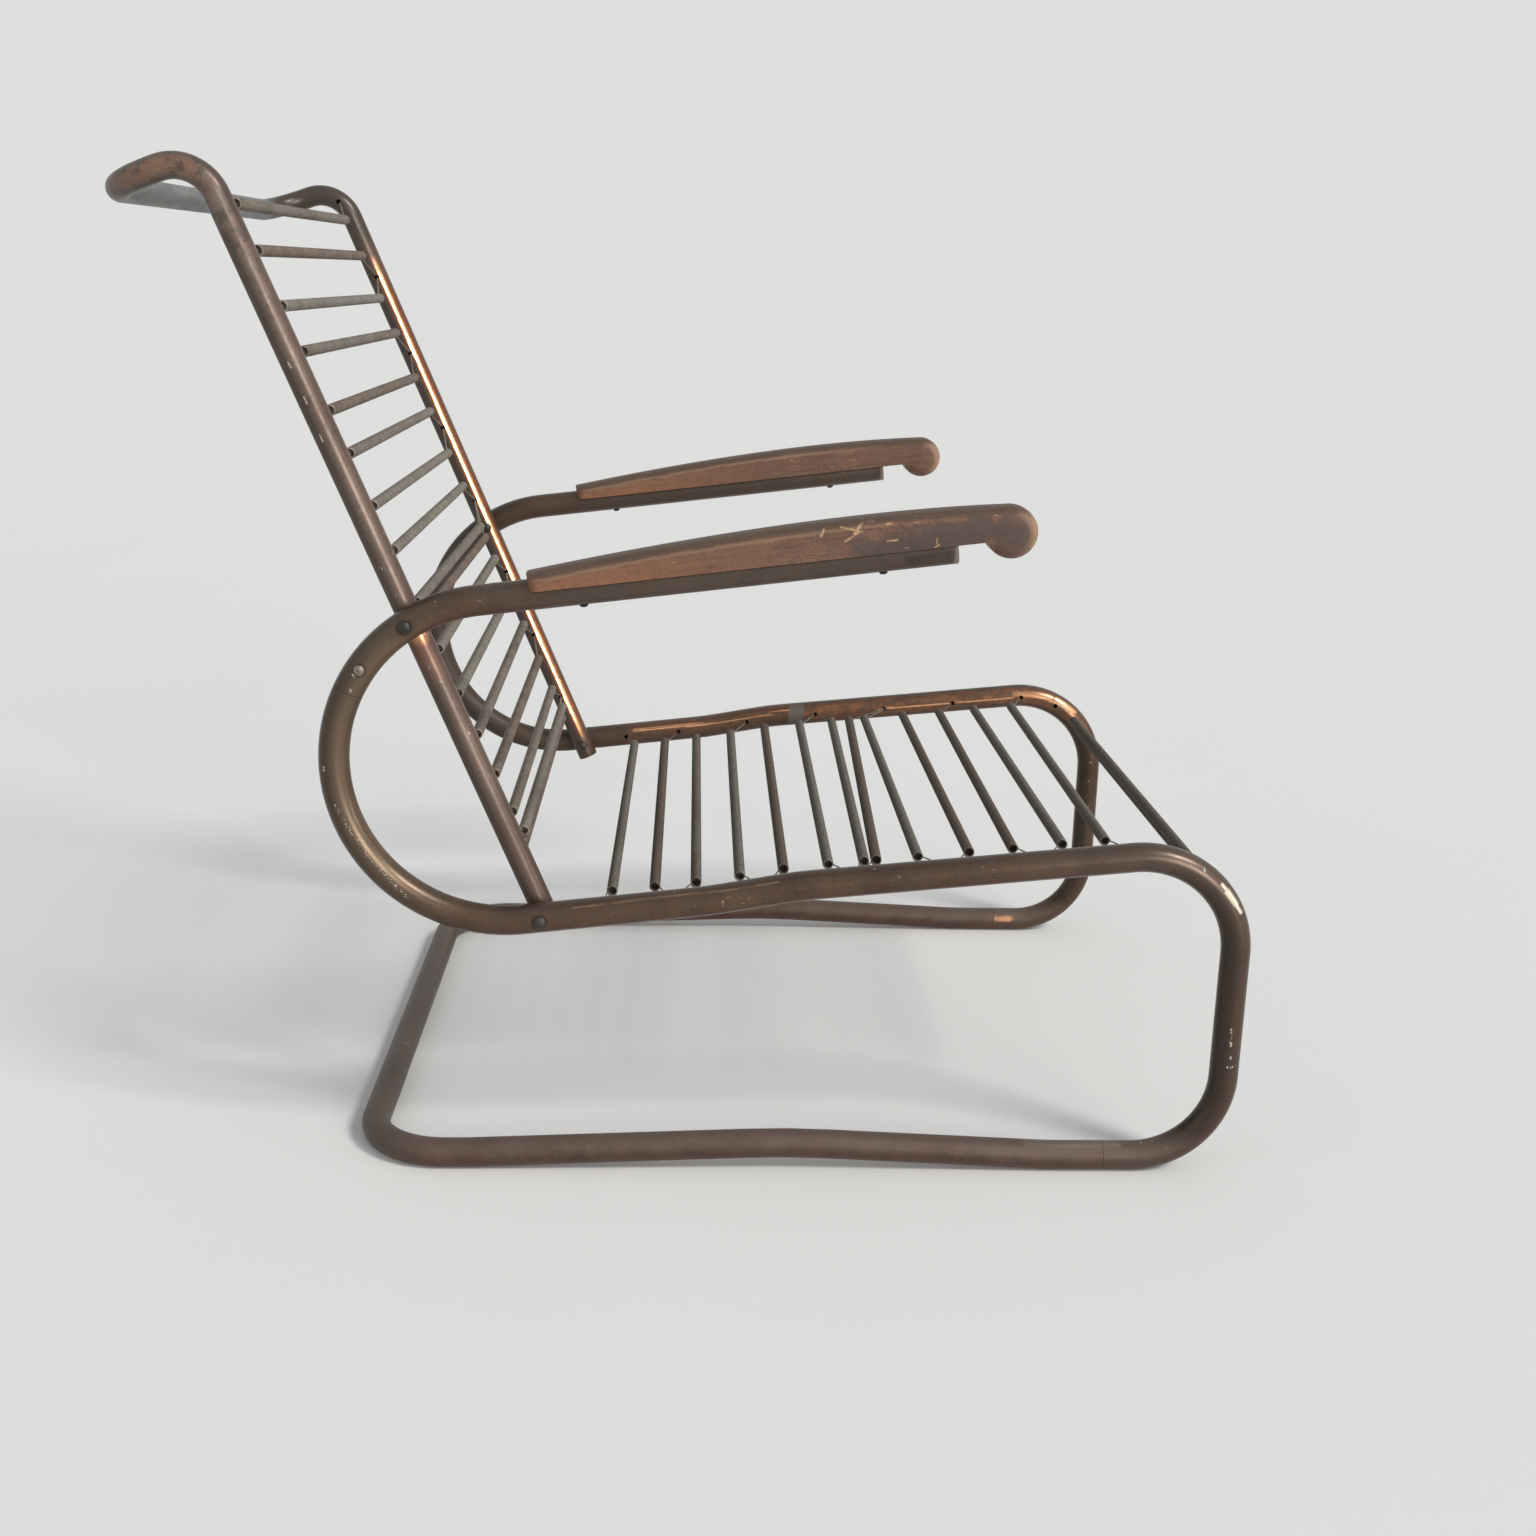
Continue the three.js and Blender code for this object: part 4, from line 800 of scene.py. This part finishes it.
def mesh_object(name, vertices, faces, material, sharp=TUBE_EDGE):
    """An object whose origin is the frame's, from vertices in the chair's millimetres."""
    mesh = bpy.data.meshes.new(name)
    mesh.from_pydata([place(*v) for v in vertices], [], faces)
    mesh.validate()
    cleaner = bmesh.new()
    cleaner.from_mesh(mesh)
    bmesh.ops.recalc_face_normals(cleaner, faces=cleaner.faces)
    cleaner.to_mesh(mesh)
    cleaner.free()
    mesh.shade_smooth()
    mesh.set_sharp_from_angle(angle=math.radians(sharp))
    mesh.materials.append(material)
    piece = bpy.data.objects.new(name, mesh)
    bpy.context.scene.collection.objects.link(piece)
    return piece


def add_piece(piece, node):
    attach(piece, "root")
    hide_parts(node)


def ring_frames(tangents, first_normal):
    """Two directions square to each tangent that turn as little as they can along a line."""
    normal = (first_normal - tangents[0] * first_normal.dot(tangents[0])).normalized()
    frames = []
    for tangent in tangents:
        normal = (normal - tangent * normal.dot(tangent)).normalized()
        frames.append((normal.copy(), tangent.cross(normal)))
    return frames


def tube_mesh(line, start, end, radius, bore, side_y):
    """Vertices and faces of a tube with open ends along a centre line."""
    places = line.stations(start, end)
    tangents = [line.tangent(d) for d in places]
    first_normal = Vector((0, 1, 0)) if abs(tangents[0].y) < 0.9 else Vector((0, 0, 1))
    vertices, faces = [], []
    for d, (normal, square) in zip(places, ring_frames(tangents, first_normal)):
        point = line.point(d) + Vector((0, side_y, 0))
        for size in (radius, bore):
            vertices += circle(point, normal, square, size, TUBE_SIDES)
    ring = 2 * TUBE_SIDES
    last = len(vertices) - ring
    for base in range(0, last, ring):
        for first in (base, base + TUBE_SIDES):
            faces += band(first, first + ring, TUBE_SIDES)
    for base in (0, last):
        faces += band(base, base + TUBE_SIDES, TUBE_SIDES)
    return vertices, faces


def cylinder_mesh(start, end, radius, sides=CUTTER_SIDES):
    axis = (end - start).normalized()
    across = axis.orthogonal().normalized()
    square = axis.cross(across)
    rings = [circle(point, across, square, radius, sides) for point in (start, end)]
    return closed(rings[0] + rings[1], sides)


def joined(parts):
    vertices, faces = [], []
    for part_vertices, part_faces in parts:
        base = len(vertices)
        vertices += part_vertices
        faces += [tuple(i + base for i in face) for face in part_faces]
    return vertices, faces


def cut_piece(piece, cutter_parts, sharp=TUBE_EDGE):
    """Cuts the given closed meshes out of a piece."""
    cutter = mesh_object("cutter", *joined(cutter_parts), MATERIALS["sleeve"])
    modifier = piece.modifiers.new("cut", "BOOLEAN")
    modifier.operation = "DIFFERENCE"
    modifier.solver = "EXACT"
    modifier.object = cutter
    depsgraph = bpy.context.evaluated_depsgraph_get()
    mesh = bpy.data.meshes.new_from_object(piece.evaluated_get(depsgraph))
    piece.modifiers.clear()
    old = piece.data
    piece.data = mesh
    mesh.name = old.name
    bpy.data.meshes.remove(old)
    while len(mesh.materials) > 1:
        mesh.materials.pop()
    mesh.shade_smooth()
    mesh.set_sharp_from_angle(angle=math.radians(sharp))
    bpy.data.objects.remove(cutter)


# Tubes, with how far the cutters of their holes reach past a face and into the bore
CUT_MARGIN = 2
BORE_CUT = 3
FRAME_RADII = (FRAME_RADIUS, FRAME_RADIUS - FRAME_WALL)


def hole_cutter(point, side, first, last, radius):
    """Cutter for a hole across the chair at a point, between two distances from its middle plane."""
    return cylinder_mesh(at_side(point, side * first), at_side(point, side * last), radius)


def hook_cutters(points, side, face, wall):
    """Cutters for the holes that the springs hook into, through the inner wall of a tube."""
    return [hole_cutter(point, side, face - CUT_MARGIN, face + wall + BORE_CUT, HOOK_HOLE_RADIUS)
            for point in points]


def make_tube(name, material, line, start, end, radii, cutters=(), side_y=0.0):
    piece = mesh_object(f"{name}_skin", *tube_mesh(line, start, end, *radii, side_y), MATERIALS[material])
    if cutters:
        cut_piece(piece, cutters)
    add_piece(piece, name)


def make_side_tubes(name, side):
    through = (SIDE_REACH + FRAME_RADIUS + CUT_MARGIN, SEAT_FACE - CUT_MARGIN)
    make_tube(f"arm_tube_{name}", "side", SIDE_LINE, 0, ARM_TUBE_LENGTH - CLEARANCE / 2, FRAME_RADII,
              [hole_cutter(ARM_CROSS, side, *through, BOLT_HOLE_RADIUS),
               hole_cutter(JOINT_SCREW, side, through[0], SIDE_REACH, SCREW_HOLE_RADIUS)], side * SIDE_REACH)
    holes = [SIDE_LINE.point(RAIL_CROSS + distance) for distance in SEAT_HOLES]
    make_tube(f"seat_tube_{name}", "side", SIDE_LINE, ARM_TUBE_LENGTH + CLEARANCE / 2,
              SIDE_LINE.length - CLEARANCE / 2, FRAME_RADII,
              [hole_cutter(BACK_CROSS, side, *through, BOLT_HOLE_RADIUS),
               *hook_cutters(holes, side, SEAT_FACE, FRAME_WALL)], side * SIDE_REACH)


def make_back_tube():
    holes = [BACK_LINE.point(BACK_OVERHANG + distance) for distance in BACK_HOLES]
    cutters = []
    for side in (-1, 1):
        cutters += hook_cutters(holes, side, BACK_FACE, BACK_WALL)
        cutters += [hole_cutter(point, side, BACK_FACE - CUT_MARGIN, BACK_PLANE + BACK_RADIUS + CUT_MARGIN,
                                BOLT_HOLE_RADIUS) for point in (BACK_CROSS, ARM_CROSS)]
    make_tube("back_tube", "back", BACK_LINE, 0, BACK_LINE.length,
              (BACK_RADIUS - BACK_SKIN_INSET, BACK_RADIUS - BACK_WALL), cutters)


# Springs
CLOSED_TURNS = 0.5
OPEN_TURNS = 0.75
OPEN_RISE = 2.1
HOOK_BEND = 1.5
HOOK_BEND_STEPS = 5
HOOK_TIP = 2.5
GROOVE_DEPTH = 0.8 * WIRE_RADIUS
END_STEP = 0.1
CUP_DEPTH = 6.0


def on_line(line, distance, up):
    """A point of the line in the middle plane, the way along it and the way square to it."""
    along = line.tangent(distance)
    return at_side(line.point(distance), 0), along, Vector((-along.z, 0, along.x)) * up


def lay_out(springs, holes, pitch_of, place_on):
    """Both ends of each spring, with the hole each hooks into and where it seats there."""
    laid = []
    for spring in springs:
        ends = {}
        right_hole = spring.hole if spring.right_hole is None else spring.right_hole
        for side, hole, share in (("left", spring.hole, spring.left), ("right", right_hole, spring.right)):
            distance = holes[hole] + share * pitch_of(hole)
            point, along, square = place_on(distance)
            point = point + square * spring.lift * 2 * SPRING_RADIUS
            ends[side] = dict(point=point, along=along, square=square, distance=distance, hole=holes[hole],
                              hole_at=place_on(holes[hole]))
        laid.append(dict(ends=ends, tone=spring.tone))
    for side in ("left", "right"):
        ends = [spring["ends"][side] for spring in laid]
        for end in ends:
            together = [other for other in ends if other["hole"] == end["hole"]]
            before = sum(other["distance"] < end["distance"] for other in together)
            others = len(together) - 1
            share = 2 * before / others - 1 if others else math.copysign(1, end["distance"] - end["hole"])
            end["seat"] = HOOK_SEAT * share
    return laid


def curve(start, middle, end, t):
    """A point of a curve of the second degree."""
    return start * (1 - t) ** 2 + middle * 2 * t * (1 - t) + end * t ** 2


def rounded(points, radius):
    """The points of a path with its inner corners rounded."""
    path = [points[0]]
    for before, here, after in zip(points, points[1:], points[2:]):
        into, out = (here - before), (after - here)
        setback = min(radius * math.tan(into.angle(out) / 2), 0.45 * into.length, 0.45 * out.length)
        start, end = here - into.normalized() * setback, here + out.normalized() * setback
        path += [curve(start, here, end, i / HOOK_BEND_STEPS) for i in range(HOOK_BEND_STEPS + 1)]
    path.append(points[-1])
    return path


def wire_mesh(points, radius):
    spans = zip([points[0]] + points[:-1], points[1:] + [points[-1]])
    tangents = [(after - before).normalized() for before, after in spans]
    vertices = []
    for point, (normal, square) in zip(points, ring_frames(tangents, tangents[0].orthogonal())):
        vertices += circle(point, normal, square, radius, WIRE_SIDES)
    return closed(vertices, WIRE_SIDES)


def hook_path(end, side, face):
    """The opened end turn, the straight hook and its last run through the tube's wall."""
    coil = SPRING_RADIUS - WIRE_RADIUS
    finish = 0.0 if end["hole"] > end["distance"] else math.pi
    turns = CLOSED_TURNS + OPEN_TURNS
    steps = round(WIRE_STEPS * turns)
    points = []
    for i in range(steps + 1):
        turned = turns * i / steps
        angle = finish - side * 2 * math.pi * (turns - turned)
        opened = max(0.0, (turned - CLOSED_TURNS) / OPEN_TURNS)
        rise = turned * 2 * WIRE_RADIUS - WIRE_RADIUS + OPEN_RISE * opened ** 1.5
        point = end["point"] + end["along"] * coil * math.cos(angle) + end["square"] * coil * math.sin(angle)
        points.append(at_side(point, side * (face - HOOK_REACH + rise)))
    hole, along, _ = end["hole_at"]
    target = hole + along * end["seat"]
    near = at_side(target, side * (face - 2 * WIRE_RADIUS))
    inside = at_side(target, side * (face + FRAME_WALL + HOOK_TIP))
    return points[:-1] + rounded([points[-1], near, inside], HOOK_BEND)


def coil_body(start, end, along):
    """A close-wound coil as one helical surface, with open ends that show the coil's hollow."""
    axis = (end - start)
    length = axis.length
    axis.normalize()
    across = (along - axis * along.dot(axis)).normalized()
    square = axis.cross(across)
    turns = round(length / (2 * WIRE_RADIUS))
    pitch = length / turns
    rings = turns * COIL_RINGS
    vertices, faces = [], []
    for i in range(rings + 1):
        radius = SPRING_RADIUS if i % COIL_RINGS else SPRING_RADIUS - GROOVE_DEPTH
        for k, offset in enumerate(circle(Vector(), across, square, radius, COIL_SIDES)):
            shift = min((i / COIL_RINGS + k / COIL_SIDES) * pitch, length)
            vertices.append(start + axis * shift + offset)
    for i in range(rings):
        for k in range(COIL_SIDES):
            row = i + COIL_RINGS if k + 1 == COIL_SIDES else i
            if row < rings:
                a, b = i * COIL_SIDES + k, row * COIL_SIDES + (k + 1) % COIL_SIDES
                faces.append((a, b, b + COIL_SIDES, a + COIL_SIDES))
    bore = SPRING_RADIUS - 2 * WIRE_RADIUS
    for at, inward in ((start, axis), (end, -axis)):
        base = len(vertices)
        for radius, depth in ((SPRING_RADIUS - END_STEP, 0.0), (bore, 0.0), (bore, CUP_DEPTH)):
            vertices += circle(at + inward * depth, across, square, radius, COIL_SIDES)
        for first in (base, base + COIL_SIDES):
            faces += band(first, first + COIL_SIDES, COIL_SIDES)
        faces.append(tuple(range(base + 2 * COIL_SIDES, len(vertices))))
    return vertices, faces


def spring_material(row, tone):
    """A row's springs share five steps of tone."""
    step = round(4 * tone)
    name = f"{row}_spring_steel_{step}"
    return bpy.data.materials.get(name) or spring_steel(name, step / 4, SPRING_PALENESS[row], SPRING_SHADE[row])


def make_springs(name, laid, face):
    body_end = face - HOOK_REACH
    for number, spring in enumerate(laid, 1):
        left, right = spring["ends"]["left"], spring["ends"]["right"]
        coil = coil_body(at_side(right["point"], -body_end), at_side(left["point"], body_end), right["along"])
        hooks = [wire_mesh(hook_path(end, side, face), WIRE_RADIUS) for end, side in ((left, 1), (right, -1))]
        node = f"{name}_spring_{number:02d}"
        material = spring_material(name, spring["tone"])
        add_piece(mesh_object(f"{node}_coil", *joined([coil, *hooks]), material, COIL_EDGE), node)


# Arm pads
PAD_WIDTH = 38
PAD_REAR = 341.5
PAD_REAR_HEIGHT = 18.5
PAD_CROWN = (-112.7, 41)
PAD_UNDER = 4.5
PAD_EDGE_WIDTH = 13
PAD_EDGE_DEPTH = 9
PAD_GROOVE_END = 2
KNOB_CENTRE = (43.4, 8.9)
KNOB_RADIUS = 21
ARM_START = SIDE_LINE.point(0)
ARM_FORWARD = Vector((math.cos(ARM_SLOPE), 0, math.sin(ARM_SLOPE)))
ARM_SQUARE = Vector((-math.sin(ARM_SLOPE), 0, math.cos(ARM_SLOPE)))


def pad_point(length, height, y):
    """A point of the arm frame: length forward from the arm tube's end, height square to it."""
    return at_side(ARM_START + ARM_FORWARD * length + ARM_SQUARE * height, y)


def knob_arc(start, finish, steps, taken):
    """Points of the scrolled knob's circle between two angles, at the taken steps."""
    angles = [start + (finish - start) * i / steps for i in taken]
    return [(KNOB_CENTRE[0] + KNOB_RADIUS * math.cos(angle), KNOB_CENTRE[1] + KNOB_RADIUS * math.sin(angle))
            for angle in angles]


def knob_angle(height):
    """Where the knob's rear half is at a height, as an angle."""
    return math.pi - math.asin((height - KNOB_CENTRE[1]) / KNOB_RADIUS)


def pad_outline():
    """The pad seen from the side: its underside, the knob and the crowned top."""
    low = PAD_UNDER - PAD_EDGE_DEPTH
    start = knob_angle(low)
    points = [(-PAD_REAR, low), (KNOB_CENTRE[0] + KNOB_RADIUS * math.cos(start), low)]
    points += knob_arc(start, 2.5 * math.pi, 2 * CROWN_STEPS, range(1, 2 * CROWN_STEPS))
    corners = [Vector(corner) for corner in ((KNOB_CENTRE[0], KNOB_CENTRE[1] + KNOB_RADIUS), PAD_CROWN,
                                             (-PAD_REAR, PAD_REAR_HEIGHT))]
    points += [tuple(curve(*corners, i / CROWN_STEPS)) for i in range(CROWN_STEPS + 1)]
    return [Vector(point) for point in points]


def inward_steps(outline):
    """For each point of an outline, the way in that moves both its edges by one millimetre."""
    steps = []
    for before, here, after in zip(outline[-1:] + outline[:-1], outline, outline[1:] + outline[:1]):
        into, out = (here - before).normalized(), (after - here).normalized()
        normal = Vector((-(into.y + out.y), into.x + out.x)).normalized()
        steps.append(normal / max(0.5, normal.dot(Vector((-out.y, out.x)))))
    return steps


def make_pad(name, side):
    y = side * SIDE_REACH
    outline = pad_outline()
    steps = inward_steps(outline)
    half = PAD_WIDTH / 2
    turns = [math.pi / 2 * i / EDGE_STEPS for i in range(EDGE_STEPS + 1)]
    sections = [(-half + PAD_EDGE_WIDTH * (1 - math.cos(turn)), PAD_EDGE_DEPTH * (1 - math.sin(turn)))
                for turn in turns]
    sections += [(-offset, inset) for offset, inset in reversed(sections)]
    vertices = [pad_point(*(point + step * inset), y + offset)
                for offset, inset in sections for point, step in zip(outline, steps)]
    pad = mesh_object(f"arm_pad_{name}_wood", *closed(vertices, len(outline)), MATERIALS["wood"], WOOD_EDGE)
    rear, bottom = -PAD_REAR - CUT_MARGIN, KNOB_CENTRE[1] - KNOB_RADIUS - CUT_MARGIN
    neck = knob_arc(knob_angle(PAD_UNDER), 1.5 * math.pi, NECK_STEPS, range(NECK_STEPS + 1))
    under = [(rear, PAD_UNDER), *neck, (KNOB_CENTRE[0], bottom), (rear, bottom)]
    slab = [pad_point(x, z, y + offset) for offset in (-half - CUT_MARGIN, half + CUT_MARGIN) for x, z in under]
    groove = cylinder_mesh(pad_point(rear, 0, y), pad_point(PAD_GROOVE_END, 0, y), FRAME_RADIUS + CLEARANCE,
                           GROOVE_SIDES)
    cut_piece(pad, [closed(slab, len(under))], WOOD_EDGE)
    cut_piece(pad, [groove], WOOD_EDGE)
    add_piece(pad, f"arm_pad_{name}")


# Fasteners: radius and height of a head, then radius and length of its shank
AXIS = 0.01
BOLT_SIZES = (5.5, 3.2, 3, 2 * FRAME_RADIUS + 2 * BACK_RADIUS + 3 * CLEARANCE + 1.4)
NUT = ((AXIS, 2.4), (3.3, 2.4), (3.3, 0), (5, 0), (5, 2.6), (4.6, 4), (3.4, 4.8), (AXIS, 5))
JOINT_SCREW_SIZES = (4.5, 2.8, 2.5, 12)
PAD_SCREW_SIZES = (3.5, 2, 2, 30.3)
PAD_SCREW_PLACES = dict(rear=300, front=60)
DRIVE_HALF_WIDTH = 0.6
DRIVE_DEPTH = 1.3


def dome(radius, height, shank, length):
    """Profile of a domed head and its shank."""
    turns = [math.pi / 2 * i / DOME_STEPS for i in range(DOME_STEPS + 1)]
    return [(AXIS, -length), (shank, -length), (shank, 0)] + [
        (radius * math.cos(turn) + AXIS, height * math.sin(turn)) for turn in turns]


def make_fastener(name, profile, base, axis, slot, drive_turn=None):
    """A revolved fastener from pairs of radius and height, with a driver's slot across its head at an angle."""
    across = Vector((0, 1, 0)).cross(axis)
    across = across.normalized() if across.length > 0.1 else Vector((1, 0, 0))
    square = axis.cross(across)
    vertices = []
    for radius, height in profile:
        vertices += circle(base + axis * height, across, square, radius, FASTENER_SIDES)
    piece = mesh_object(f"{name}_skin", *closed(vertices, FASTENER_SIDES), MATERIALS[slot], FASTENER_EDGE)
    if drive_turn is not None:
        top = profile[-1][1]
        reach = max(radius for radius, _ in profile) + CUT_MARGIN
        width = (across * math.cos(drive_turn) + square * math.sin(drive_turn)) * DRIVE_HALF_WIDTH
        length = (square * math.cos(drive_turn) - across * math.sin(drive_turn)) * reach
        box = [base + axis * height + width * a + length * b for height in (top - DRIVE_DEPTH, top + CUT_MARGIN)
               for a, b in ((-1, -1), (-1, 1), (1, 1), (1, -1))]
        cut_piece(piece, [closed(box, 4)], FASTENER_EDGE)
    add_piece(piece, name)


def make_fasteners(name, side):
    outward = Vector((0, side, 0))
    outside = side * (SIDE_REACH + FRAME_RADIUS + CLEARANCE)
    for where, point in (("arm", ARM_CROSS), ("seat", BACK_CROSS)):
        make_fastener(f"{where}_bolt_{name}", dome(*BOLT_SIZES), at_side(point, outside), outward, "bolt")
        make_fastener(f"{where}_bolt_nut_{name}", NUT, at_side(point, side * (BACK_FACE - CLEARANCE)), -outward,
                      "bolt", 0.9)
    make_fastener(f"joint_screw_{name}", dome(*JOINT_SCREW_SIZES), at_side(JOINT_SCREW, outside), outward,
                  "bare_steel", 0.25)
    for where, length in PAD_SCREW_PLACES.items():
        make_fastener(f"pad_screw_{where}_{name}", dome(*PAD_SCREW_SIZES),
                      pad_point(-length, -FRAME_RADIUS - CLEARANCE, side * SIDE_REACH), -ARM_SQUARE, "bolt", 0.4)


# Lights, floor and background
FLOOR_SIZE = 200
BACKDROP = (0.739, 0.743, 0.731)
SKY = (0.98, 0.985, 1.0)
SKY_STRENGTH = 0.38


def make_floor():
    mesh = bpy.data.meshes.new("floor")
    corners = [(x * FLOOR_SIZE, y * FLOOR_SIZE, 0) for x, y in ((-1, -1), (1, -1), (1, 1), (-1, 1))]
    mesh.from_pydata(corners, [], [(0, 1, 2, 3)])
    n = Nodes("floor_paint")
    n.body = n.mix(n.noise(3, 3, 0.5), (0.89, 0.895, 0.89), (0.905, 0.91, 0.905))
    mesh.materials.append(n.finish(0.9, 0.0, n.bump(n.noise(60, 3, 0.5), 0.02, 0.001), 0.1))
    floor = bpy.data.objects.new("floor", mesh)
    bpy.context.scene.collection.objects.link(floor)


def make_world():
    """Pale sky light, with the plain backdrop shown to the camera and in reflections."""
    world = bpy.data.worlds.new("world")
    bpy.context.scene.world = world
    n = Tree(world)
    sky = n.fill(n.tree.nodes["Background"], {"Color": SKY, "Strength": SKY_STRENGTH})[0]
    shown = n.add("Background", {"Color": BACKDROP})[0]
    rays = n.add("LightPath")
    reflected = n.math("MAXIMUM", rays["Is Glossy Ray"], rays["Is Transmission Ray"])
    seen = n.math("MAXIMUM", rays["Is Camera Ray"], reflected)
    mixed = n.add("MixShader", {0: seen, 1: sky, 2: shown})[0]
    n.fill(n.tree.nodes["World Output"], {"Surface": mixed})


def make_sun(name, toward, strength, softness, colour=(1, 1, 1)):
    """A far, soft light that shines along the given direction."""
    data = bpy.data.lights.new(name, "SUN")
    data.energy = strength
    data.angle = math.radians(softness)
    data.color = colour
    light = bpy.data.objects.new(name, data)
    bpy.context.scene.collection.objects.link(light)
    light.rotation_euler = Vector(toward).to_track_quat("-Z", "Y").to_euler()


make_camera()
make_floor()
make_world()
make_sun("key", (-1.0, 0.75, -1.15), 1.545, 14, (1.0, 0.985, 0.95))
make_sun("fill", (1.2, 0.9, -0.8), 0.16, 50, (0.95, 0.97, 1.0))
make_sun("window", (-0.54, 0.84, -0.17), 1.5, 24, (1.0, 0.98, 0.92))
make_sun("side", (-0.95, 0.27, -0.14), 0.2, 9)

for side_name, side_sign in (("right", -1), ("left", 1)):
    make_side_tubes(side_name, side_sign)
    make_pad(side_name, side_sign)
    make_fasteners(side_name, side_sign)
    for node_name in (f"arm_joint_sleeve_{side_name}", f"runner_joint_sleeve_{side_name}"):
        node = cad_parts[node_name]
        node.data.materials.clear()
        node.data.materials.append(MATERIALS["sleeve"])
make_tube("floor_tube", "floor", FLOOR_LINE, CLEARANCE / 2, FLOOR_LINE.length - CLEARANCE / 2, FRAME_RADII)
make_back_tube()
make_springs("seat", lay_out(SEAT_SPRINGS, SEAT_HOLES, lambda hole: SEAT_PITCH,
                             lambda distance: on_line(SIDE_LINE, RAIL_CROSS + distance, 1)), SEAT_FACE)
make_springs("back", lay_out(BACK_SPRINGS, BACK_HOLES,
                             lambda hole: BACK_LOW_PITCH if hole < BACK_LOW_COUNT else BACK_HIGH_PITCH,
                             lambda distance: on_line(BACK_LINE, BACK_OVERHANG + distance, -1)), BACK_FACE)

bpy.context.scene.view_settings.view_transform = "Standard"
